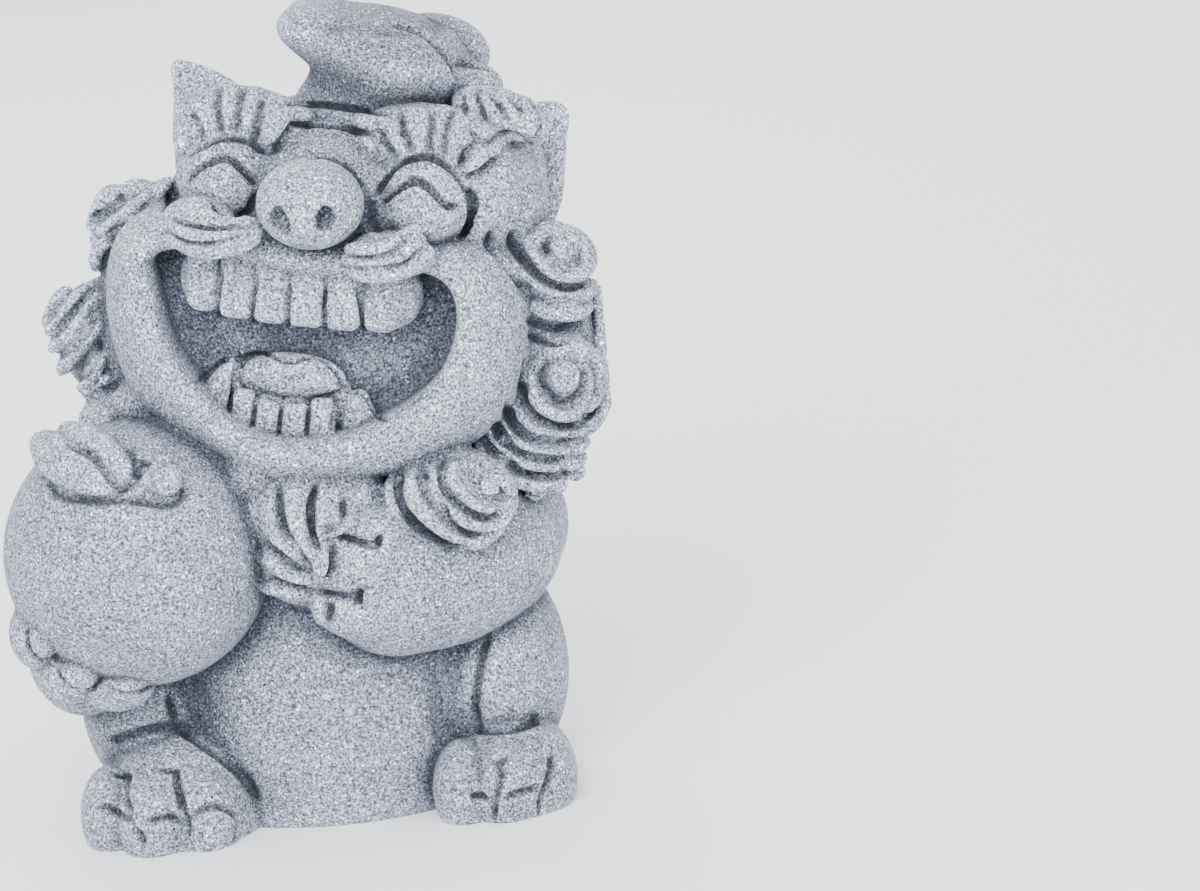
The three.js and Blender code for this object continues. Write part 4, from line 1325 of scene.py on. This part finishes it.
# %% Band and its grooves
BAND = [(-5.4, 19.9), (0, 19.9), (7, 19.4)]
ABOVE_BAND = [(-5.2, 20.8), (-1.4, 21.1), (5.3, 20.6)]
BELOW_BAND = [(-4.6, 18.7), (0.0, 18.9), (3.9, 18.4)]
BAND_DEPTH = -9.5
lay(HEAD, BAND_DEPTH, BAND, 1.9, 0.6)
carve(HEAD, BAND_DEPTH, ABOVE_BAND, 0.8, 0.7, 0.9)
carve(HEAD, BAND_DEPTH, BELOW_BAND, 0.9, 0.8, 0.9)
stone.tell("band")

# %% [markdown]
# ## Lines of the topknot
# One deep fold parts the tongue of hair from the lobe behind it, with a short branch. The fold
# is twice as wide as the lines of the mouth, since it is a gap between two masses.

# %% Carved lines of the topknot
KNOT_LINES = (
    ([(4.9, 29.7), (6.9, 29.4), (9.4, 28.2), (11.5, 26.1), (12, 25)], 1.0, 0.9, 0.2),
    ([(11.8, 25.9), (12.9, 26.3), (15.6, 25.8)], 0.7, 0.6, 0.2),
)
for points, width, deep, shoulder in KNOT_LINES:
    carve(HEAD, -6, points, width, deep, 0.7, shoulder=shoulder, reach=9)
stone.tell("lines of the topknot")

# %% [markdown]
# ## Lines of the mouth
# Thin lines part the teeth. A long wavy line runs along the upper edge of the tongue, and a
# shorter one along its lower edge. They are cut after the pillows, in the order in which a
# carver would work.

# %% Carved lines of the mouth
MOUTH_LINES = (
    [(-9.7, 3.8), (-9.9, 1.3), (-9.8, -1.0)],
    [(-6.0, 3.4), (-6.2, 1.2), (-6.2, -0.9)],
    [(-2.5, 3.3), (-2.5, 1.0), (-2.4, -1.0)],
    [(1.3, 3.3), (1.3, 1.1), (1.5, -1.1)],
    [(4.6, 4.0), (5.0, 1.8), (5.6, -0.9)],
    [(-7.6, -5.6), (-8.1, -11.1)],
    [(-5.3, -9.1), (-5.6, -12.4)],
    [(-2.5, -9.4), (-2.8, -12.7)],
    [(0.3, -9.0), (0.2, -12.7)],
    [(3.2, -7.9), (2.9, -11.7)],
    [
        (-12, -8.4), (-9.1, -5.7), (-7.7, -5.4), (-6.1, -4.7), (-4.2, -4.5), (-2, -5.1),
        (-0.3, -4.4), (1.5, -4.5), (4.5, -7.3), (6, -7.7), (8.3, -10.2), (9.8, -9.2),
        (12.1, -7.4),
    ],
    [(-7.5, -6), (-7.1, -7.7), (-2.5, -9.3), (3.2, -7.8), (4.2, -7.1)],
)
for points in MOUTH_LINES:
    carve(HEAD, -17, points, 0.5, 0.5, 0.9)
stone.tell("lines of the mouth")

# %% [markdown]
# ## Lines of the moustache
# Two lines a side part the three strands. They are short and thin, and a lighter stain keeps
# them from looking drawn on.

# %% Carved lines of the moustache
MOUSTACHE_LINES = (
    [(-14.9, 10.1), (-10.9, 9.4), (-5.4, 10.2)],
    [(-15.2, 8.8), (-13.1, 7.8), (-10.6, 7.7), (-6, 9.3)],
    [(3.7, 7.9), (6.1, 7.9), (8.8, 8.8), (10.7, 10.8)],
    [(3.7, 6.8), (6.2, 6.7), (10, 7.7), (11.9, 9.7)],
)
for points in MOUSTACHE_LINES:
    carve(HEAD, -22, points, 0.5, 0.5, 0.7)
stone.tell("lines of the moustache")

# %% [markdown]
# ## Lines of the fingers, legs and feet
# A line parts each haunch from its foot, others part the toes, and short arcs mark the nails of
# fingers and toes. The long lines are cut wider than the arcs, as the tool leaves them.

# %% Carved lines of the fingers, legs and feet
NAIL_LINES = (
    [(-30.2, 26.5), (-30.5, 25.5), (-29.9, 23.4), (-29, 22.9), (-27.4, 23.4)],
    [(-27.5, 21.9), (-27.4, 20.8), (-25.5, 19.3), (-24.2, 19.4), (-23.5, 20)],
    [(-22.6, 19.3), (-20.4, 18.3), (-17.8, 19.0)],
)
LEG_LINES = (
    [(-16.5, 16.7), (-16.2, 15.1), (-16.0, 13.7)],
    [
        (-26.4, 10.2), (-24.7, 11.5), (-23.3, 12.2), (-16, 13.3), (-14.7, 12.2), (-9.3, 7),
        (-8.2, 4.7),
    ],
    [(17.9, 20.1), (17.1, 18.3), (15.8, 12.9), (16, 10.1)],
    [(23.6, 11.4), (22.0, 10.6), (19.3, 9.9), (16, 10)],
)
TOE_LINES = (
    [(-22.9, 9.8), (-21.5, 9.5), (-21.9, 7.2), (-21.4, 5.2)],
    [(-17.6, 9.7), (-16.3, 9.6), (-16.3, 8.1), (-15.4, 2.7)],
    [(-24.7, 6.2), (-23.9, 6.4), (-22.2, 4.9), (-21.4, 4.7)],
    [(-21.2, 3.7), (-20.6, 2.5), (-20.5, 1.6)],
    [(-19.5, 4.4), (-17.2, 4.6), (-16.3, 4)],
    [(-15.2, 4.4), (-14.2, 5), (-12.2, 5.3), (-10.6, 4.3), (-10.3, 3.4), (-10.9, 1.5)],
    [(17.4, 7.6), (18, 6.7), (16.9, 2.5), (16.9, 1.4)],
    [(18.0, 7.5), (18.8, 7.9)],
    [(23.4, 7.8), (23.5, 6.6), (21.6, 1.8)],
    [(18.2, 3.6), (20.6, 4.2), (21.8, 4.2)],
    [(14.5, 4.0), (15.6, 4.0), (16.6, 3.5)],
)
LONG_TOE_LINE = 3.5
for points in NAIL_LINES:
    carve(BODY, -22, points, 0.6, 0.5, 0.8)
for points in LEG_LINES:
    carve(BODY, -18, points, 0.9, 0.8, 0.9, shoulder=0.2)
for points in TOE_LINES:
    is_long = points[0][1] - points[-1][1] > LONG_TOE_LINE
    width, deep = (0.95, 0.75) if is_long else (0.8, 0.6)
    carve(BODY, -22, points, width, deep, 0.9)
stone.tell("lines of the legs and feet")

# %% [markdown]
# ## Painted shade round the feet
# Round the toes and below the peach the stone lies in shade, and that shade is painted: a wide
# soft stain darkens the skin and leaves its shape alone.

# %% Shade round the feet
PAINTED_SHADE_PLACES = (
    ((-15.0, -13.0, 14.0), (3, 4, 3), 0.4),
    ((18.0, -18.0, 5.0), (6, 6, 5), 0.3),
    ((-18.0, -19.0, 5.0), (7, 6, 5), 0.2),
)
for centre, radii, strength in PAINTED_SHADE_PLACES:
    stone.stain_dust_and_shade(egg(BODY, centre, radii), 3.0, strength)
print("shaded places:", len(PAINTED_SHADE_PLACES))

# %% [markdown]
# ## The flat base
# The figure is ground flat to stand. The grid is cut with a plane, and with the sides of the
# measured part's box so that no lock stands out of it. A boolean on the mesh could leave stray
# faces, and cutting the grid can't.

# %% Flat base
SHIFT = np.array([-0.1662, 3.5879, -0.9])
GROUND = -SHIFT[2]
EDGE_GAP = 0.04
limit_low = np.array(CAD_BOX[0]) / MM - SHIFT + EDGE_GAP
limit_high = np.array(CAD_BOX[1]) / MM - SHIFT - EDGE_GAP
limit_low[2] = GROUND
for i in range(3):
    shape = [1, 1, 1]
    shape[i] = -1
    tick = stone.ticks[i].reshape(shape)
    stone.field = np.maximum(stone.field, np.maximum(limit_low[i] - tick, tick - limit_high[i]))
stone.tell("flat base")

# %% [markdown]
# ## The skin
# The grid of distances becomes a mesh: each cell that the skin passes through gets one point, at
# the middle of the places where the skin crosses the cell's edges, and each crossed edge gets one
# square face between the four cells round it. Blender's remesh works in much the same way, but it
# starts from a mesh, which isn't there yet.

# %% Skin from the cells


def cell_points(field, cells):
    """For each cell, the middle of the places where the skin crosses its edges."""
    total = np.zeros((len(cells), 3))
    hits = np.zeros(len(cells))
    for corner in CORNERS:
        for axis in range(3):
            if corner[axis]:
                continue
            a = cells + corner
            b = a + np.eye(3, dtype=int)[axis]
            at_a, at_b = field[tuple(a.T)], field[tuple(b.T)]
            cross = (at_a < 0) != (at_b < 0)
            share = np.where(cross, at_a / np.where(cross, at_a - at_b, 1), 0)
            spot = np.array(corner) + share[:, None] * np.eye(3)[axis]
            total += spot * cross[:, None]
            hits += cross
    return cells + total / hits[:, None]


def skin(field, low, cell):
    inside = field < 0
    nx, ny, nz = field.shape
    count = np.zeros((nx - 1, ny - 1, nz - 1), np.uint8)
    for i, j, k in CORNERS:
        count += inside[i : nx - 1 + i, j : ny - 1 + j, k : nz - 1 + k]
    crossed = (count > 0) & (count < 8)
    cells = np.argwhere(crossed)
    number = np.full(crossed.shape, -1, np.int32)
    number[crossed] = np.arange(len(cells))
    faces = []
    for axis in range(3):
        u, v = np.roll(np.eye(3, dtype=int), -axis - 1, axis=0)[:2]
        ahead = np.take(inside, range(1, field.shape[axis]), axis)
        behind = np.take(inside, range(field.shape[axis] - 1), axis)
        edges = np.argwhere(ahead != behind)
        solid = behind[tuple(edges.T)]
        shifts = (u + v, v, 0 * u, u)
        square = np.stack([number[tuple((edges - shift).T)] for shift in shifts], axis=1)
        square[~solid] = square[~solid][:, ::-1]
        faces.append(square)
    return low + cell * cell_points(field, cells), np.concatenate(faces)


points, faces = skin(stone.field, stone.low, stone.cell)
print("points", len(points), "faces", len(faces))

# %% [markdown]
# ## Mesh with fewer faces
# A grid this fine gives more faces than the eye can use. The decimate modifier joins them where
# the skin is nearly flat and keeps them in the lines, which a coarser grid would lose.

# %% Mesh with fewer faces
MOST_TRIANGLES = 190000
mesh = bpy.data.meshes.new("lion_skin")
mesh.from_pydata(((points + SHIFT) * MM).tolist(), [], faces.tolist())
mesh.validate()
lion = bpy.data.objects.new("lion_skin", mesh)
bpy.context.collection.objects.link(lion)
thin = lion.modifiers.new("fewer_faces", "DECIMATE")
thin.ratio = min(1.0, MOST_TRIANGLES / (2 * len(faces)))
bpy.context.view_layer.objects.active = lion
bpy.ops.object.modifier_apply(modifier="fewer_faces")
mesh = lion.data
mesh.polygons.foreach_set("use_smooth", [True] * len(mesh.polygons))
print("triangles", sum(len(p.vertices) - 2 for p in mesh.polygons))

# %% [markdown]
# ## Where dust gathers, and painted shade
# On the real stone the edges are rubbed pale and dust lies in the hollows. The darkening of the
# hollows is also painted shade: ambient occlusion in the shader would give it, but an export
# loses
# it. So it is measured: on the skin, a blurred grid is above nothing at an edge and below it in a
# hollow. The values are stored on the points of the mesh.

# %% Edges, painted shade of shelter, and dust, measured


def blurred(most, radius):
    """The grid, kept within most, averaged over a cube; it runs on straight past its walls."""
    grid = np.clip(stone.field, -most, most)
    width = max(1, round(radius / CELL))
    for axis in range(3):
        walls = [(0, 0)] * 3
        walls[axis] = (width + 1, width)
        longer = np.pad(grid, walls, mode="reflect", reflect_type="odd")
        sums = np.cumsum(longer, axis=axis, dtype=np.float32)
        length = grid.shape[axis]
        ahead = np.take(sums, range(2 * width + 1, 2 * width + 1 + length), axis)
        behind = np.take(sums, range(length), axis)
        grid = (ahead - behind) / (2 * width + 1)
    return grid


flat = np.empty(len(mesh.vertices) * 3)
mesh.vertices.foreach_get("co", flat)
places = flat.reshape(-1, 3) / MM - SHIFT
fine = stone.read(blurred(4, 0.7), places)
broad = stone.read(blurred(4, 2.0), places)
wide = stone.read(blurred(6, 5.0), places)
MEASURES = {
    # Rubbed pale at edges and dark in fine hollows: wear and dust, and also painted shade in the
    # creases.
    "edge": np.clip(0.5 + fine * 1.6, 0, 1),
    # Painted shade: dimmer where the stone is sheltered by the forms round it.
    "shelter_shade": np.clip(0.5 + broad * 0.35 + wide * 0.22, 0, 1),
    "dust_and_shade": stone.read(stone.dust_and_shade, places),
}
for name, values in MEASURES.items():
    layer = mesh.attributes.new(name, "FLOAT", "POINT")
    layer.data.foreach_set("value", values.astype(np.float32))
    print(name, "at 5, 50 and 95 in 100:", np.percentile(values, [5, 50, 95]).round(2))

# %% [markdown]
# ## The finish
# The stone is crushed granite, pale blue-grey with fine white and dark grains. It could be
# painted, but a procedural finish keeps its grain at any distance and needs no picture. Its
# nodes are placed again and again in the same way, so short functions do it.

# %% Tools for the finish
finish = bpy.data.materials.new("pale_granite")
finish.use_nodes = True
nodes, links = finish.node_tree.nodes, finish.node_tree.links
shader = nodes["Principled BSDF"]
shader.inputs["Roughness"].default_value = 0.88
where = nodes.new("ShaderNodeTexCoord")


def pattern(kind, **values):
    """A pattern read from the object's own places."""
    made = nodes.new(kind)
    for name, value in values.items():
        made.inputs[name].default_value = value
    links.new(where.outputs["Object"], made.inputs["Vector"])
    return made


def ramp(source, stops):
    """Tones between stops; a tone is a colour or one number for grey."""
    made = nodes.new("ShaderNodeValToRGB")
    elements = made.color_ramp.elements
    while len(elements) < len(stops):
        elements.new(0.5)
    for element, (at, tone) in zip(elements, stops):
        element.position = at
        element.color = (*(tone if isinstance(tone, tuple) else (tone,) * 3), 1)
    links.new(source, made.inputs["Fac"])
    return made.outputs["Color"]


def multiplied(one, other):
    made = nodes.new("ShaderNodeMix")
    made.data_type = "RGBA"
    made.blend_type = "MULTIPLY"
    made.inputs["Factor"].default_value = 1.0
    links.new(one, made.inputs["A"])
    links.new(other, made.inputs["B"])
    return made.outputs["Result"]


print("roughness of the stone:", round(shader.inputs["Roughness"].default_value, 2))

# %% [markdown]
# ## Grains
# Granite is a crowd of single grains. A fine noise gives the crowd its uneven mass, and a cell
# pattern, one tone to each cell, gives the single dark and white grains. A slow cloud over both
# keeps large faces from looking even. The patterns are read from the object, so they stay put in
# every view.

# %% Grains of the stone
DARK_GRAIN = (0.04, 0.046, 0.064)
MEAN_GRAIN = (0.205, 0.228, 0.288)
PALE_GRAIN = (0.56, 0.60, 0.68)
GRAIN_TONES = ((0.39, DARK_GRAIN), (0.5, MEAN_GRAIN), (0.61, PALE_GRAIN))
SPECK_TONES = (
    (0.05, (0.12, 0.13, 0.16)),
    (0.2, (0.75, 0.76, 0.78)),
    (0.5, 1),
    (0.8, 1.15),
    (0.92, 3.0),
)
CLOUD_TONES = ((0.3, (0.86, 0.87, 0.89)), (0.7, 1.06))
grain = pattern("ShaderNodeTexNoise", Scale=4000, Detail=3, Roughness=0.7)
speck = pattern("ShaderNodeTexVoronoi", Scale=4200)
cloud = pattern("ShaderNodeTexNoise", Scale=260, Detail=4)
grains = ramp(grain.outputs["Fac"], GRAIN_TONES)
specks = ramp(speck.outputs["Color"], SPECK_TONES)
clouds = ramp(cloud.outputs["Fac"], CLOUD_TONES)
colour = multiplied(multiplied(grains, specks), clouds)
print("patterns in the grain:", 3)

# %% [markdown]
# ## Rubbed edges, dust and painted shade
# The three measures that the mesh carries are turned into tones and multiplied in: pale at edges
# and dark in fine hollows, as wear and dust and partly painted shade; dimmer where the stone is
# sheltered, which is painted shade; and nearly black where dust lies in a line, or where a stain
# was laid as painted shade.

# %% Rubbed edges, painted shade and dust
# Tones of rubbed edges and dust, and of painted shade in creases, sheltered places and stains.
MEASURE_TONES = {
    "edge": ((0.18, (0.14, 0.15, 0.17)), (0.47, 0.92), (0.72, 1.25)),
    "shelter_shade": ((0.15, (0.30, 0.32, 0.36)), (0.5, (0.86, 0.87, 0.88)), (0.85, 1.1)),
    "dust_and_shade": ((0, 1), (1, (0.09, 0.10, 0.12))),
}
for name, tones in MEASURE_TONES.items():
    layer = nodes.new("ShaderNodeAttribute")
    layer.attribute_name = name
    colour = multiplied(colour, ramp(layer.outputs["Fac"], tones))
links.new(colour, shader.inputs["Base Color"])
print("measures in the finish:", ", ".join(MEASURE_TONES))

# %% [markdown]
# ## Rough skin
# The grains stand out of the skin by a tenth of a millimetre. That is too fine for faces, so it
# is a bump, and the shape itself doesn't depend on it.

# %% Rough skin
GRAIN_RELIEF = 0.12 * MM
rough = pattern("ShaderNodeTexNoise", Scale=2200, Detail=3)
bump = nodes.new("ShaderNodeBump")
bump.inputs["Strength"].default_value = 0.5
bump.inputs["Distance"].default_value = GRAIN_RELIEF
links.new(rough.outputs["Fac"], bump.inputs["Height"])
links.new(bump.outputs["Normal"], shader.inputs["Normal"])
mesh.materials.append(finish)
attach(lion, "root")
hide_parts("guardian_lion")
print("nodes in the finish:", len(nodes))

# %% [markdown]
# ## Floor
# The figure stands on plain pale paper. One large face is enough.

# %% Floor
FLOOR_HALF = 1.2
PAPER_TONE = (0.95, 0.95, 0.95, 1)
floor_mesh = bpy.data.meshes.new("pale_floor")
SQUARE = ((-1, -1), (1, -1), (1, 1), (-1, 1))
floor_corners = [(FLOOR_HALF * x, FLOOR_HALF * y, 0) for x, y in SQUARE]
floor_mesh.from_pydata(floor_corners, [], [(0, 1, 2, 3)])
floor = bpy.data.objects.new("pale_floor", floor_mesh)
bpy.context.collection.objects.link(floor)
paper = bpy.data.materials.new("pale_paper")
paper.use_nodes = True
paper_shader = paper.node_tree.nodes["Principled BSDF"]
paper_shader.inputs["Base Color"].default_value = PAPER_TONE
paper_shader.inputs["Roughness"].default_value = 0.9
floor_mesh.materials.append(paper)
print("the floor is", 2 * FLOOR_HALF, "m wide")

# %% [markdown]
# ## Light
# The picture was taken in a soft white studio, with hardly a shadow. A bright even world gives
# that softness, and three broad lamps give the forms a lit and a dim side.

# %% Light
AIM = Vector((0, 0, 0.04))
LAMPS = (
    ("key", (-0.12, -0.55, 0.42), 0.3, 6.0),
    ("fill", (0.4, -0.5, 0.12), 0.3, 1.5),
    ("rim", (-0.1, 0.5, 0.5), 0.4, 2.5),
)
world = bpy.data.worlds.new("studio")
bpy.context.scene.world = world
world.use_nodes = True
sky = world.node_tree.nodes["Background"]
sky.inputs["Color"].default_value = (0.95, 0.97, 1.0, 1)
sky.inputs["Strength"].default_value = 1.75
for name, spot, size, power in LAMPS:
    lamp = bpy.data.lights.new(name, "AREA")
    lamp.size = size
    lamp.energy = power
    stand = bpy.data.objects.new(name, lamp)
    stand.location = spot
    stand.rotation_mode = "QUATERNION"
    stand.rotation_quaternion = (AIM - Vector(spot)).to_track_quat("-Z", "Y")
    bpy.context.collection.objects.link(stand)
print("lamps:", ", ".join(name for name, *_ in LAMPS))

# %% [markdown]
# ## Camera
# The camera looks a little down on the lion from far off, through a long lens, and is rolled by a
# few degrees. Its place was worked out from the flat base and from the width against the height,
# and it is the same eye that the lines were thrown from.

# %% Camera
LENS = 165.6
SENSOR = 36
VIEW_RIGHT = Vector((0.996389, -0.020014, -0.082515))
VIEW_UP = Vector((0.084897, 0.220093, 0.971778))
camera = bpy.data.cameras.new("viewer")
camera.lens = LENS
camera.sensor_width = SENSOR
camera.clip_start = 0.01
viewer = bpy.data.objects.new("viewer", camera)
pose = Matrix((VIEW_RIGHT, VIEW_UP, VIEW_RIGHT.cross(VIEW_UP))).transposed().to_4x4()
pose.translation = Vector((EYE + SHIFT) * MM)
viewer.matrix_world = pose
bpy.context.collection.objects.link(viewer)
bpy.context.scene.camera = viewer
print("the camera is", round(pose.translation.length, 3), "m away")
